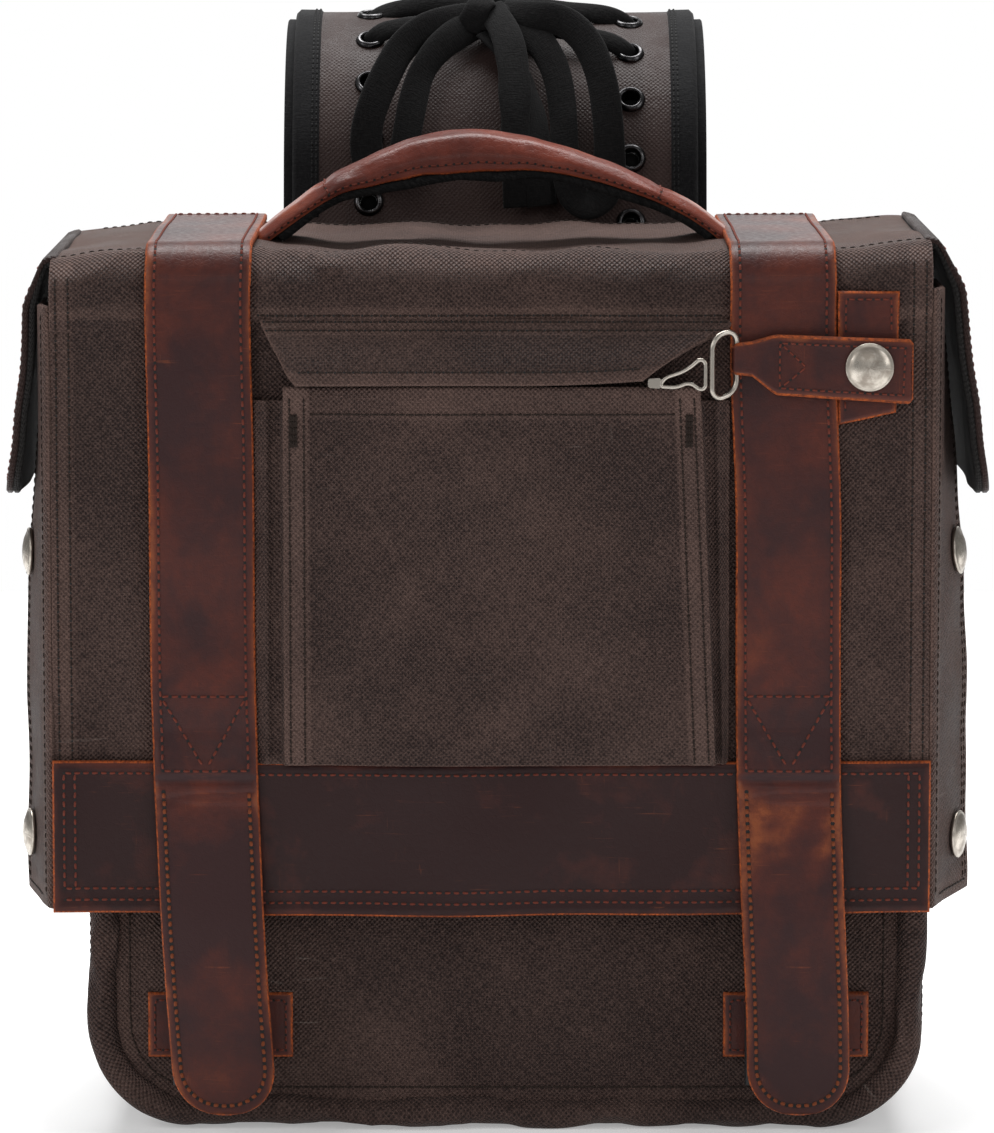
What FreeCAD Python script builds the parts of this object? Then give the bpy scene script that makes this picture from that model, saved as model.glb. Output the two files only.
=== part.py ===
import FreeCAD, Part

import math
import os

from FreeCAD import Placement, Rotation, Vector

# Throw-over saddlebag in waxed canvas with leather straps.
# Millimetres, +Z up, and the front faces -Y. Heights in the sheet and the code are from the level that the
# strap tails hang to. The base lies base_drop below it, and the finished parts are lifted by that much, so
# that in the STEP files the origin is the middle of the flat base.

doc = FreeCAD.newDocument("saddlebag")

# ---------------------------------------------------------------- driving dimensions

DIMENSIONS = [
    # body shell
    ("body_left", -148.5),
    ("body_right", 160.0),
    ("body_front", -70.0),
    ("body_back", 70.0),
    ("base_drop", 6.0),
    ("rim_height", 314.0),
    ("rim_band", 6.0),
    ("rim_width", 5.0),
    ("corner_radius", 40.0),
    ("roll_size", 13.0),
    ("roll_round", 5.0),
    ("panel_thick", 3.0),
    ("front_recess", 4.0),
    ("rear_piping_depth", 6.0),
    ("rear_piping_width", 4.0),
    ("board_thick", 2.0),
    ("lining_thick", 1.2),
    # lid
    ("lid_half_width", 159.5),
    ("lid_underside", 316.5),
    ("lid_front", -79.0),
    ("lid_round", 12.0),
    ("lid_bottom", 78.0),
    ("band_top", 133.5),
    ("leather_thick", 3.0),
    ("strap_width", 38.5),
    ("strap_left_mid", -105.0),
    ("strap_right_mid", 105.5),
    ("crease_height", 127.5),
    # hanging strap tails
    ("tail_width", 37.6),
    ("tail_length", 121.0),
    ("tail_splay", 4.0),
    ("tail_lean_left", 3.2),
    ("tail_lean_right", 2.4),
    # wings and ears at the lid's sides
    ("side_gap", 0.8),
    ("wing_thick", 2.6),
    ("wing_rear", -36.0),
    ("wing_split", 222.5),
    ("ear_layer", 2.5),
    ("ear_front", -68.0),
    ("ear_rear", 62.0),
    # front pocket and its flap
    ("pocket_left", -75.0),
    ("pocket_right", 78.0),
    ("pocket_mouth", 269.0),
    ("pocket_depth", 6.0),
    ("pocket_wall", 2.5),
    ("flap_thick", 2.6),
    # key tab
    ("snap_x", 136.3),
    ("snap_z", 278.6),
    ("tab_thick", 4.6),
    ("wire_size", 2.0),
    # snap fasteners
    ("cap_size", 17.0),
    ("cap_dome", 3.0),
    ("snap_high", 206.0),
    ("snap_low", 103.0),
    ("snap_y", -50.0),
    # carrying handle
    ("handle_width", 30.0),
    ("handle_centre_z", 254.0),
    ("handle_outer", 103.7),
    ("handle_grip_half", 56.0),
    ("handle_end", 85.5),
    # webbing and side-release buckles
    ("webbing_width", 25.0),
    ("webbing_thick", 1.6),
    ("buckle_width", 33.0),
    ("buckle_left_mid", -100.0),
    ("buckle_right_mid", 109.6),
    ("buckle_mouth", 44.0),
    # yoke
    ("yoke_mid", 1.5),
    ("yoke_half_width", 78.5),
    ("yoke_binding", 11.0),
    ("yoke_layer", 3.0),
    ("yoke_back_layer", 2.0),
    ("yoke_arch", 73.0),
    ("yoke_lean", 12.0),
    ("yoke_end_angle", 106.0),
    ("yoke_start_y", 80.0),
    ("yoke_start_z", 340.0),
    ("yoke_foot", 23.0),
    ("mounting_low", 240.0),
    ("mounting_high", 312.0),
    ("eyelet_size", 11.5),
    ("eyelet_bore", 6.6),
    ("eyelet_pitch", 24.8),
    ("eyelet_spread", 50.7),
    ("eyelet_mid", 3.3),
    ("eyelet_skew", 4.0),
    ("lace_size", 5.0),
]

sheet = doc.addObject("Spreadsheet::Sheet", "Dims")
for row, (alias, number) in enumerate(DIMENSIONS, start=1):
    sheet.set(f"A{row}", alias)
    sheet.set(f"B{row}", str(number))
    sheet.setAlias(f"B{row}", alias)
doc.recompute()


def dim(alias):
    """The value of a driving dimension."""
    return float(sheet.get(alias))


parts = []


def keep(obj, label):
    """Name a finished sub-part and put it on the list that is written out."""
    obj.Label = label
    parts.append(obj)
    return obj


# ---------------------------------------------------------------- building helpers

def outline(corners):
    """Closed outline through (u, v, radius) corners: straight runs joined by tangent arcs."""
    runs = []
    count = len(corners)
    for index in range(count):
        before = Vector(*corners[index - 1][:2])
        here = Vector(*corners[index][:2])
        after = Vector(*corners[(index + 1) % count][:2])
        radius = corners[index][2]
        to_before = (before - here).normalize()
        to_after = (after - here).normalize()
        if radius == 0:
            runs.append((here, None, here))
            continue
        half = to_before.getAngle(to_after) / 2
        reach = radius / math.tan(half)
        bisector = (to_before + to_after).normalize()
        middle = here + bisector * (radius / math.sin(half) - radius)
        runs.append((here + to_before * reach, middle, here + to_after * reach))
    edges = []
    for index, (start, middle, end) in enumerate(runs):
        if middle is not None:
            edges.append(Part.Arc(start, middle, end))
        following = runs[(index + 1) % count][0]
        if (following - end).Length > 1e-6:
            edges.append(Part.LineSegment(end, following))
    return edges


def bind(obj, **places):
    """Bind an object's placement, axis by axis, to expressions on the sheet."""
    for axis, expression in places.items():
        obj.setExpression(f"Placement.Base.{axis}", expression)


def padded(label, plane, corners, length, **places):
    """A PartDesign body: an outline on an origin plane, padded by a length from the sheet."""
    body = doc.addObject("PartDesign::Body", label)
    sketch = body.newObject("Sketcher::SketchObject", label + "_outline")
    support = [feature for feature in body.Origin.OriginFeatures if feature.Role == plane][0]
    sketch.AttachmentSupport = [(support, "")]
    sketch.MapMode = "FlatFace"
    sketch.addGeometry(outline(corners), False)
    pad = body.newObject("PartDesign::Pad", label + "_pad")
    pad.Profile = sketch
    pad.setExpression("Length", length)
    body.Tip = pad
    bind(body, **places)
    return body


def box(label, length, width, height, **places):
    """A Part box with its three sizes and its corner bound to the sheet."""
    solid = doc.addObject("Part::Box", label)
    solid.setExpression("Length", length)
    solid.setExpression("Width", width)
    solid.setExpression("Height", height)
    bind(solid, **places)
    return solid


def shaped(label, shape):
    """A sub-part whose shape is made with Part's own functions."""
    feature = doc.addObject("Part::Feature", label)
    feature.Shape = shape
    return keep(feature, label)


def prism(corners, plane, start, end):
    """A solid between two parallel planes: 'x' draws (y, z), 'y' draws (x, z), 'z' draws (x, y)."""
    wire = Part.Wire([edge.toShape() for edge in outline(corners)])
    face = Part.Face(wire)
    if plane == "x":
        face.Placement = Placement(Vector(start, 0, 0), Rotation(Vector(1, 1, 1), 120))
        return face.extrude(Vector(end - start, 0, 0))
    if plane == "y":
        face.Placement = Placement(Vector(0, start, 0), Rotation(Vector(1, 0, 0), 90))
        return face.extrude(Vector(0, end - start, 0))
    face.Placement = Placement(Vector(0, 0, start), Rotation())
    return face.extrude(Vector(0, 0, end - start))


def block(low, high):
    """A plain block between two corners."""
    size = Vector(*high) - Vector(*low)
    return Part.makeBox(size.x, size.y, size.z, Vector(*low))


# ---------------------------------------------------------------- body shell

width = dim("body_right") - dim("body_left")
body_mid = (dim("body_right") + dim("body_left")) / 2
shell_top = dim("rim_height") - dim("rim_band")
corner = dim("corner_radius")
panel = dim("panel_thick")
base_z = -dim("base_drop")
MIDDLE = "(Dims.body_left + Dims.body_right) / 2"


def u_section(inset, thickness):
    """U-shaped section that runs down one side, under the base and up the other side."""
    outer = width / 2 - inset
    inner = outer - thickness
    return [
        (-outer, base_z + inset, corner - inset),
        (outer, base_z + inset, corner - inset),
        (outer, shell_top, 0),
        (inner, shell_top, 0),
        (inner, base_z + inset + thickness, corner - inset - thickness),
        (-inner, base_z + inset + thickness, corner - inset - thickness),
        (-inner, shell_top, 0),
        (-outer, shell_top, 0),
    ]


def wall(inset):
    """Flat wall with round lower corners, set in from the body's outer outline."""
    half = width / 2 - inset
    return [
        (-half, base_z + inset, corner - inset),
        (half, base_z + inset, corner - inset),
        (half, shell_top, 0),
        (-half, shell_top, 0),
    ]


def edges_at_front(shape, depth):
    """Names of the edges that lie in the plane y = depth."""
    names = []
    for number, edge in enumerate(shape.Edges, start=1):
        if abs(edge.BoundBox.YMin - depth) < 1e-4 and abs(edge.BoundBox.YMax - depth) < 1e-4:
            names.append(f"Edge{number}")
    return names


def make_front_roll():
    """Padded roll round the front edge, rounded towards the front."""
    roll = padded("body_front_roll", "XZ_Plane", u_section(0, dim("roll_size")), "Dims.roll_size",
                  x=MIDDLE, y="Dims.body_front + Dims.roll_size")
    doc.recompute()
    pad = roll.Tip
    rounding = roll.newObject("PartDesign::Fillet", "roll_rounding")
    rounding.Base = (pad, edges_at_front(pad.Shape, -dim("roll_size")))
    rounding.setExpression("Radius", "Dims.roll_round")
    roll.Tip = rounding
    keep(roll, "body_front_roll")


make_front_roll()
keep(padded("body_front_panel", "XZ_Plane", wall(dim("roll_size")), "Dims.panel_thick",
            x=MIDDLE, y="Dims.body_front + Dims.front_recess + Dims.panel_thick"), "body_front_panel")
keep(padded("body_gusset", "XZ_Plane", u_section(0, panel),
            "Dims.body_back - Dims.rear_piping_depth - Dims.body_front - Dims.roll_size",
            x=MIDDLE, y="Dims.body_back - Dims.rear_piping_depth"), "body_gusset")
keep(padded("body_rear_piping", "XZ_Plane", u_section(0, dim("rear_piping_width")),
            "Dims.rear_piping_depth", x=MIDDLE, y="Dims.body_back"), "body_rear_piping")
keep(padded("body_back_panel", "XZ_Plane", wall(dim("rear_piping_width")), "Dims.panel_thick",
            x=MIDDLE, y="Dims.body_back"), "body_back_panel")
keep(padded("back_stiffener", "XZ_Plane", wall(dim("rear_piping_width") + 1), "Dims.board_thick",
            x=MIDDLE, y="Dims.body_back - Dims.panel_thick"), "back_stiffener")
keep(box("base_stiffener", "Dims.body_right - Dims.body_left - 2 * Dims.corner_radius",
         "Dims.body_back - Dims.body_front - 2 * Dims.roll_size - 4", "Dims.board_thick",
         x="Dims.body_left + Dims.corner_radius", y="Dims.body_front + Dims.roll_size + 2",
         z="Dims.panel_thick - Dims.base_drop"), "base_stiffener")


def make_rim_binding():
    """Bound edge round the mouth of the bag."""
    outer = box("rim_outer", "Dims.body_right - Dims.body_left",
                "Dims.body_back - Dims.body_front - Dims.front_recess", "Dims.rim_band",
                x="Dims.body_left", y="Dims.body_front + Dims.front_recess",
                z="Dims.rim_height - Dims.rim_band")
    inner = box("rim_mouth", "Dims.body_right - Dims.body_left - 2 * Dims.rim_width",
                "Dims.body_back - Dims.body_front - Dims.front_recess - 2 * Dims.rim_width",
                "Dims.rim_band + 2", x="Dims.body_left + Dims.rim_width",
                y="Dims.body_front + Dims.front_recess + Dims.rim_width",
                z="Dims.rim_height - Dims.rim_band - 1")
    ring = doc.addObject("Part::Cut", "body_rim_binding")
    ring.Base = outer
    ring.Tool = inner
    keep(ring, "body_rim_binding")


def make_lining():
    """Thin bag that lines the compartment, clear of the stiffening boards."""
    gap = 0.4
    side = dim("rear_piping_width") + gap
    front = dim("body_front") + dim("roll_size") + gap
    back = dim("body_back") - panel - dim("board_thick") - gap
    floor = base_z + panel + dim("board_thick") + gap
    round_in = corner - side
    half = width / 2 - side
    skin = dim("lining_thick")

    def liner(inset, y_front, y_back, top):
        corners = [
            (-half + inset, floor + inset, round_in - inset),
            (half - inset, floor + inset, round_in - inset),
            (half - inset, top, 0),
            (-half + inset, top, 0),
        ]
        return prism(corners, "y", y_back, y_front)

    outside = liner(0, front, back, shell_top)
    inside = liner(skin, front + skin, back - skin, shell_top + 1)
    bag = outside.cut(inside)
    bag.translate(Vector(body_mid, 0, 0))
    shaped("body_lining", bag)


make_rim_binding()
make_lining()

# ---------------------------------------------------------------- anchors on the body front

front_face = dim("body_front") + dim("front_recess")
web = dim("webbing_thick")
PATCH = {"left": (-126.3, -73.0), "right": (85.5, 139.0)}
PATCH_LOW = 21.5
PATCH_HIGH = 45.5
PATCH_FRONT = front_face - web - 2.5
SOCKET_BACK = -76.0
SOCKET_FRONT = -84.0
SOCKET_FOOT = 14.0
CAVITY_BACK = -77.5
CAVITY_FRONT = -82.5
CAVITY_HALF = 14.0
CAVITY_FLOOR = 27.0
buckle_mid = {"left": dim("buckle_left_mid"), "right": dim("buckle_right_mid")}
half_web = dim("webbing_width") / 2
half_buckle = dim("buckle_width") / 2


def anchor_strip(middle):
    """Webbing stitched under the patch, which turns forward to the buckle's lower bar."""
    profile = [
        (front_face, PATCH_HIGH - 1, 0),
        (front_face, SOCKET_FOOT + 3, 2.5),
        (SOCKET_BACK, SOCKET_FOOT + 1, 0),
        (SOCKET_BACK, SOCKET_FOOT + 1 + web, 0),
        (front_face - web, SOCKET_FOOT + 3.4 + web, 1),
        (front_face - web, PATCH_HIGH - 1, 0),
    ]
    return prism(profile, "x", middle - half_web, middle + half_web)


def make_patch(side):
    """Leather patch with a channel for the webbing that it holds down."""
    low, high = PATCH[side]
    middle = buckle_mid[side]
    patch = block((low, PATCH_FRONT, PATCH_LOW), (high, front_face, PATCH_HIGH))
    channel = block((middle - half_web, front_face - web, PATCH_LOW - 1),
                    (middle + half_web, front_face + 1, PATCH_HIGH + 1))
    shaped(f"anchor_patch_{side}", patch.cut(channel))


def make_socket(side):
    """Female half of the side-release buckle, open at the top."""
    middle = buckle_mid[side]
    housing = block((middle - half_buckle, SOCKET_FRONT, SOCKET_FOOT),
                    (middle + half_buckle, SOCKET_BACK, dim("buckle_mouth")))
    housing = housing.makeFillet(1.5, [edge for edge in housing.Edges if edge.BoundBox.ZLength > 20])
    cavity = block((middle - CAVITY_HALF, CAVITY_FRONT, CAVITY_FLOOR),
                   (middle + CAVITY_HALF, CAVITY_BACK, dim("buckle_mouth") + 1))
    shaped(f"buckle_socket_{side}", housing.cut(cavity))


shaped("anchor_webbing", Part.makeCompound([anchor_strip(buckle_mid[side]) for side in buckle_mid]))
for side in ("left", "right"):
    make_patch(side)
    make_socket(side)


def make_side_studs():
    """Press studs on the body's sides, under the caps of the lid's wings."""
    studs = []
    for face, outward in ((dim("body_right"), 1), (dim("body_left"), -1)):
        for height in (dim("snap_high"), dim("snap_low")):
            start = Vector(face, dim("snap_y"), height)
            flange = Part.makeCylinder(6, 1.2, start, Vector(outward, 0, 0))
            post = Part.makeCylinder(2.6, 3, start, Vector(outward, 0, 0))
            studs.append(flange.fuse(post).removeSplitter())
    shaped("side_snap_studs", Part.makeCompound(studs))


make_side_studs()

# ---------------------------------------------------------------- lid

lid_half = dim("lid_half_width")
lid_under = dim("lid_underside")
lid_over = lid_under + panel
lid_front = dim("lid_front")
lid_inner = lid_front + panel
lid_round = dim("lid_round")
lid_rear = dim("body_back")
leather = dim("leather_thick")

keep(box("lid_top_panel", "2 * Dims.lid_half_width",
         "Dims.body_back - Dims.lid_front - Dims.lid_round", "Dims.panel_thick",
         x="-Dims.lid_half_width", y="Dims.lid_front + Dims.lid_round", z="Dims.lid_underside"),
     "lid_top_panel")

FRONT_PANEL = [
    (lid_front, dim("lid_bottom"), 0),
    (lid_inner, dim("lid_bottom"), 0),
    (lid_inner, lid_under, lid_round - panel),
    (lid_front + lid_round, lid_under, 0),
    (lid_front + lid_round, lid_over, 0),
    (lid_front, lid_over, lid_round),
]
keep(padded("lid_front_panel", "YZ_Plane", FRONT_PANEL, "2 * Dims.lid_half_width",
            x="-Dims.lid_half_width"), "lid_front_panel")

keep(box("lid_band", "2 * Dims.lid_half_width", "Dims.leather_thick",
         "Dims.band_top - Dims.lid_bottom", x="-Dims.lid_half_width",
         y="Dims.lid_front - Dims.leather_thick", z="Dims.lid_bottom"), "lid_band")

STRAP_STEP = 3.2
STRAP_PROFILE = [
    (lid_rear, lid_over, 0),
    (lid_front, lid_over, lid_round),
    (lid_front, 143.0, 4),
    (lid_front - STRAP_STEP, 134.0, 3),
    (lid_front - STRAP_STEP, dim("crease_height"), 0),
    (lid_front - STRAP_STEP - leather, dim("crease_height"), 0),
    (lid_front - STRAP_STEP - leather, 134.8, 6),
    (lid_front - leather, 143.8, 5),
    (lid_front - leather, lid_over + leather, lid_round + leather),
    (lid_rear, lid_over + leather, 0),
]
strap_mid = {"left": dim("strap_left_mid"), "right": dim("strap_right_mid")}
for side in ("left", "right"):
    keep(padded(f"strap_upper_{side}", "YZ_Plane", STRAP_PROFILE, "Dims.strap_width",
                x=f"Dims.strap_{side}_mid - Dims.strap_width / 2"), f"strap_upper_{side}")

# ---------------------------------------------------------------- strap tails and hidden buckles

tail_top = dim("crease_height") - 1.0
TAIL_BACK = lid_front - STRAP_STEP - 2.2
TAIL_MID = {"left": -103.6, "right": 108.0}
TAIL_LEAN = {"left": dim("tail_lean_left"), "right": dim("tail_lean_right")}


def make_tail(side):
    """Free end of a strap: a leather tongue with a round tip that hangs from the crease."""
    half = dim("tail_width") / 2
    length = dim("tail_length")
    corners = [(-half, 0, 0), (half, 0, 0), (half, -length, half * 0.86), (-half, -length, half * 0.86)]
    tongue = prism(corners, "y", 0, -leather)
    tongue = tongue.makeFillet(0.8, [edge for edge in tongue.Edges if edge.BoundBox.YLength < 0.1])
    tongue.Placement = Placement(Vector(TAIL_MID[side], TAIL_BACK, tail_top),
                                 Rotation(Vector(1, 0, 0), -dim("tail_splay"))
                                 * Rotation(Vector(0, 1, 0), -TAIL_LEAN[side]))
    above = block((-300, -200, tail_top), (300, 0, tail_top + 20))
    shaped(f"strap_tail_{side}", tongue.cut(above))


WEB_BACK = lid_front - leather - 0.3
WEB_LOW = 61.0
PLUG_LOW = 58.0
PLUG_HIGH = 77.0
PLUG_BACK = -77.4
PLUG_FRONT = -86.0
PRONG_LENGTH = 12.0
FIT = 0.3


def make_plug(side):
    """Male half of the buckle: a block with a slot for the webbing, two prongs and a guide."""
    middle = buckle_mid[side]
    head = block((middle - half_buckle, PLUG_FRONT, PLUG_LOW), (middle + half_buckle, PLUG_BACK, PLUG_HIGH))
    slot = block((middle - half_web - 0.5, WEB_BACK - web - 0.4, PLUG_LOW - 1),
                 (middle + half_web + 0.5, WEB_BACK + 0.4, PLUG_HIGH + 1))
    head = head.cut(slot)
    window = block((middle - half_web + 3, PLUG_FRONT - 1, PLUG_LOW + 6),
                   (middle + half_web - 3, WEB_BACK - web, PLUG_HIGH - 6))
    head = head.cut(window)
    for prong_x, prong_half in ((-11, 2.5), (0, 2), (11, 2.5)):
        prong = block((middle + prong_x - prong_half, CAVITY_FRONT + FIT, PLUG_LOW - PRONG_LENGTH),
                      (middle + prong_x + prong_half, CAVITY_BACK - FIT, PLUG_LOW))
        ends = [edge for edge in prong.Edges
                if edge.BoundBox.ZMax < PLUG_LOW - PRONG_LENGTH + 0.1 and edge.BoundBox.YLength > 3]
        head = head.fuse(prong.makeChamfer(1.2, ends))
    shaped(f"buckle_plug_{side}", head.removeSplitter())


def webbing_strip(middle):
    """Webbing that comes down behind the tail and passes through the plug."""
    return block((middle - half_web, WEB_BACK - web, WEB_LOW), (middle + half_web, WEB_BACK, tail_top - 1.5))


for side in ("left", "right"):
    make_tail(side)
    make_plug(side)
shaped("buckle_webbing", Part.makeCompound([webbing_strip(buckle_mid[side]) for side in buckle_mid]))

# ---------------------------------------------------------------- wings and ears

# Height and outward reach of the wing's rear edge and of the ear, on the side where they flare most.
WING_FLARE = [(79.0, 17.0), (150.0, 17.3), (205.0, 15.0), (255.0, 9.6), (302.0, 4.4)]
EAR_FLARE = [(301.5, 7.2), (262.0, 13.7), (229.0, 16.7)]
FLARE_SHARE = {"left": 0.7, "right": 1.0}
MIRROR = {"left": -1, "right": 1}
side_start = lid_half + dim("side_gap")
wing_rear = dim("wing_rear")
thin = dim("wing_thick")


def wing_reach(side, height):
    """Outward reach of the wing's rear edge at a height."""
    for (low, reach_low), (high, reach_high) in zip(WING_FLARE, WING_FLARE[1:]):
        if height <= high:
            share = (height - low) / (high - low)
            return (reach_low + share * (reach_high - reach_low)) * FLARE_SHARE[side]
    return WING_FLARE[-1][1] * FLARE_SHARE[side]


def wing_section(side, height):
    """Closed section of a wing at a height, from the lid's front edge back along the side."""
    reach = wing_reach(side, height)
    knee = lid_inner + 5.0
    outline_points = [
        (side_start, lid_front + 0.5),
        (side_start + 1.6, knee),
        (side_start + reach - thin, wing_rear),
        (side_start + reach, wing_rear),
        (side_start + 1.6 + thin, knee),
        (side_start + 1.2, lid_front - 0.6),
    ]
    points = [Vector(MIRROR[side] * x, y, height) for x, y in outline_points]
    return Part.makePolygon(points + points[:1])


def wing_solid(side, low, high):
    """Wing between two heights, as straight lofts between the flare's levels."""
    levels = [low] + [height for height, reach in WING_FLARE if low < height < high] + [high]
    return Part.makeLoft([wing_section(side, height) for height in levels], True, True)


def wing_snap(side, height):
    """Snap fastener through a wing: domed cap outside, post through the cloth, socket inside."""
    reach = wing_reach(side, height)
    knee = lid_inner + 5.0
    share = (dim("snap_y") - knee) / (wing_rear - knee)
    outer_x = side_start + 1.6 + thin + share * (reach - thin - 1.6)
    slope = math.atan2(reach - thin - 1.6, wing_rear - knee)
    outward = Vector(MIRROR[side] * math.cos(slope), -math.sin(slope), 0)
    centre = Vector(MIRROR[side] * outer_x, dim("snap_y"), height)
    radius = dim("cap_size") / 2
    dome_radius = (radius ** 2 + dim("cap_dome") ** 2) / (2 * dim("cap_dome"))
    ball = Part.makeSphere(dome_radius, centre + outward * (dim("cap_dome") - dome_radius + 0.9))
    disc = Part.makeCylinder(radius, dim("cap_dome") + 1, centre + outward * 0.35, outward)
    cap = ball.common(disc)
    post = Part.makeCylinder(2.0, thin + 2.0, centre - outward * (thin + 1.2), outward)
    socket = Part.makeCylinder(6.0, 2.6, centre - outward * (thin + 3.1), outward)
    return cap.fuse(post).fuse(socket).removeSplitter(), centre, outward


def make_wing(side):
    """Side wing of the lid: a fixed root under the ear and a free lower part with two snaps."""
    lower = wing_solid(side, dim("lid_bottom") + 1, dim("wing_split"))
    snaps = []
    for height in (dim("snap_high"), dim("snap_low")):
        snap, centre, outward = wing_snap(side, height)
        hole = Part.makeCylinder(2.05, 12, centre - outward * 6, outward)
        lower = lower.cut(hole)
        snaps.append(snap)
    shaped(f"wing_{side}", lower)
    shaped(f"wing_snaps_{side}", Part.makeCompound(snaps))
    shaped(f"wing_root_{side}", wing_solid(side, dim("wing_split") + 0.8, WING_FLARE[-1][0]))


def make_ear(side):
    """Two-layer flap that hangs from the lid's top side edge."""
    share = FLARE_SHARE[side]
    sign = MIRROR[side]
    layer = dim("ear_layer")
    top = lid_over + 2.0
    inner = [(side_start, top - 2 * layer - 1)]
    inner += [(side_start + reach * share, height) for height, reach in EAR_FLARE]
    middle = [(side_start, top - layer)]
    middle += [(side_start + reach * share + layer, height + 1.2) for height, reach in EAR_FLARE[:1]]
    middle += [(side_start + reach * share + layer, height) for height, reach in EAR_FLARE[1:]]
    outer = [(side_start + 1.0, top)]
    outer += [(side_start + reach * share + 2 * layer, height + 2.4) for height, reach in EAR_FLARE[:1]]
    outer += [(side_start + reach * share + 2 * layer, height) for height, reach in EAR_FLARE[1:]]

    def layer_solid(near, far):
        corners = [(sign * x, z, 0) for x, z in near + far[::-1]]
        slab = prism(corners, "y", dim("ear_rear"), dim("ear_front"))
        foot = EAR_FLARE[-1][0]
        face = [
            (dim("ear_front"), foot, 14),
            (dim("ear_rear"), foot, 14),
            (dim("ear_rear"), top + 5, 0),
            (dim("ear_front"), top + 5, 0),
        ]
        return slab.common(prism(face, "x", sign * 150, sign * 200))

    shaped(f"ear_{side}", layer_solid(middle, outer))
    shaped(f"ear_lining_{side}", layer_solid(inner, middle))


for side in ("left", "right"):
    make_wing(side)
    make_ear(side)

# ---------------------------------------------------------------- front pocket

pocket_left = dim("pocket_left")
pocket_right = dim("pocket_right")
pocket_wall = dim("pocket_wall")
pocket_face = lid_front - dim("pocket_depth")
pocket_foot = dim("band_top") + 0.5
BELLOWS_TOP = dim("pocket_mouth") - 4.0

keep(box("pocket_panel", "Dims.pocket_right - Dims.pocket_left", "Dims.pocket_wall",
         "Dims.pocket_mouth - Dims.band_top - 0.5", x="Dims.pocket_left",
         y="Dims.lid_front - Dims.pocket_depth - Dims.pocket_wall", z="Dims.band_top + 0.5"),
     "pocket_panel")

BELLOWS = [
    (pocket_left, pocket_foot, 0),
    (pocket_right, pocket_foot, 0),
    (pocket_right, BELLOWS_TOP, 0),
    (pocket_right - pocket_wall, BELLOWS_TOP, 0),
    (pocket_right - pocket_wall, pocket_foot + pocket_wall, 0),
    (pocket_left + pocket_wall, pocket_foot + pocket_wall, 0),
    (pocket_left + pocket_wall, BELLOWS_TOP, 0),
    (pocket_left, BELLOWS_TOP, 0),
]
keep(padded("pocket_bellows", "XZ_Plane", BELLOWS, "Dims.pocket_depth", y="Dims.lid_front"),
     "pocket_bellows")

FLAP_HINGE_Y = lid_front - 1.5
FLAP_HINGE_Z = 293.0
FLAP_SLOPE = 27.0


def make_pocket_flap():
    """Pocket flap that slopes out over the mouth, with its right corner cut on the slant."""
    drop = 22.5
    corners = [(-82.0, 0, 0), (83.5, 0, 2), (50.0, -drop + 1.5, 4), (-72.0, -drop, 3)]
    flap = prism(corners, "y", 0, -dim("flap_thick"))
    flap.Placement = Placement(Vector(0, FLAP_HINGE_Y, FLAP_HINGE_Z - 0.6),
                               Rotation(Vector(1, 0, 0), -FLAP_SLOPE))
    shaped("pocket_flap", flap)


make_pocket_flap()

# ---------------------------------------------------------------- key tab, ring and wire clip

snap_x = dim("snap_x")
snap_z = dim("snap_z")
tab_back = lid_front - leather - 0.4
tab_front = tab_back - dim("tab_thick")
tab_middle = (tab_back + tab_front) / 2
wire = dim("wire_size") / 2
RING_BAR_X = 88.6
RING_FAR = (79.6, -89.4)


def make_key_tab_base():
    """Upright leather strip beside the strap, with a free end cut on the slant, and its stud."""
    corners = [(125.2, 305.5, 1.5), (147.0, 305.5, 1.5), (146.8, 262.0, 1), (126.0, 257.0, 1)]
    strip = prism(corners, "y", lid_front, lid_front - leather)
    shaped("key_tab_base", strip.cut(Part.makeCylinder(3.4, 20, Vector(snap_x, lid_front + 5, snap_z),
                                                       Vector(0, -1, 0))))


def make_key_tab():
    """Folded leather tab that turns about its snap, with a tunnel for the ring at its fold."""
    corners = [
        (86.2, 287.0, 2), (94.0, 288.0, 3), (102.5, 290.2, 3), (152.2, 288.4, 2),
        (151.4, 265.2, 2), (102.5, 268.6, 3), (95.0, 275.0, 3), (86.2, 275.6, 2),
    ]
    tab = prism(corners, "y", tab_back, tab_front)
    tunnel = Part.makeCylinder(wire + 0.3, 40, Vector(RING_BAR_X, tab_middle, 260), Vector(0, 0, 1))
    through = Part.makeCylinder(2.05, 20, Vector(snap_x, tab_back + 5, snap_z), Vector(0, -1, 0))
    shaped("key_tab", tab.cut(tunnel).cut(through))


def make_key_tab_cap():
    """Domed cap, post and socket of the snap that the key tab turns on."""
    forward = Vector(0, -1, 0)
    centre = Vector(snap_x, tab_front, snap_z)
    radius = dim("cap_size") / 2
    dome_radius = (radius ** 2 + dim("cap_dome") ** 2) / (2 * dim("cap_dome"))
    ball = Part.makeSphere(dome_radius, centre + forward * (dim("cap_dome") - dome_radius + 0.4))
    disc = Part.makeCylinder(radius, dim("cap_dome") + 1, centre + forward * 0.02, forward)
    post = Part.makeCylinder(2.0, dim("tab_thick") + 2.5, Vector(snap_x, tab_back + 2.0, snap_z), forward)
    shaped("key_tab_cap", ball.common(disc).fuse(post).removeSplitter())


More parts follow.
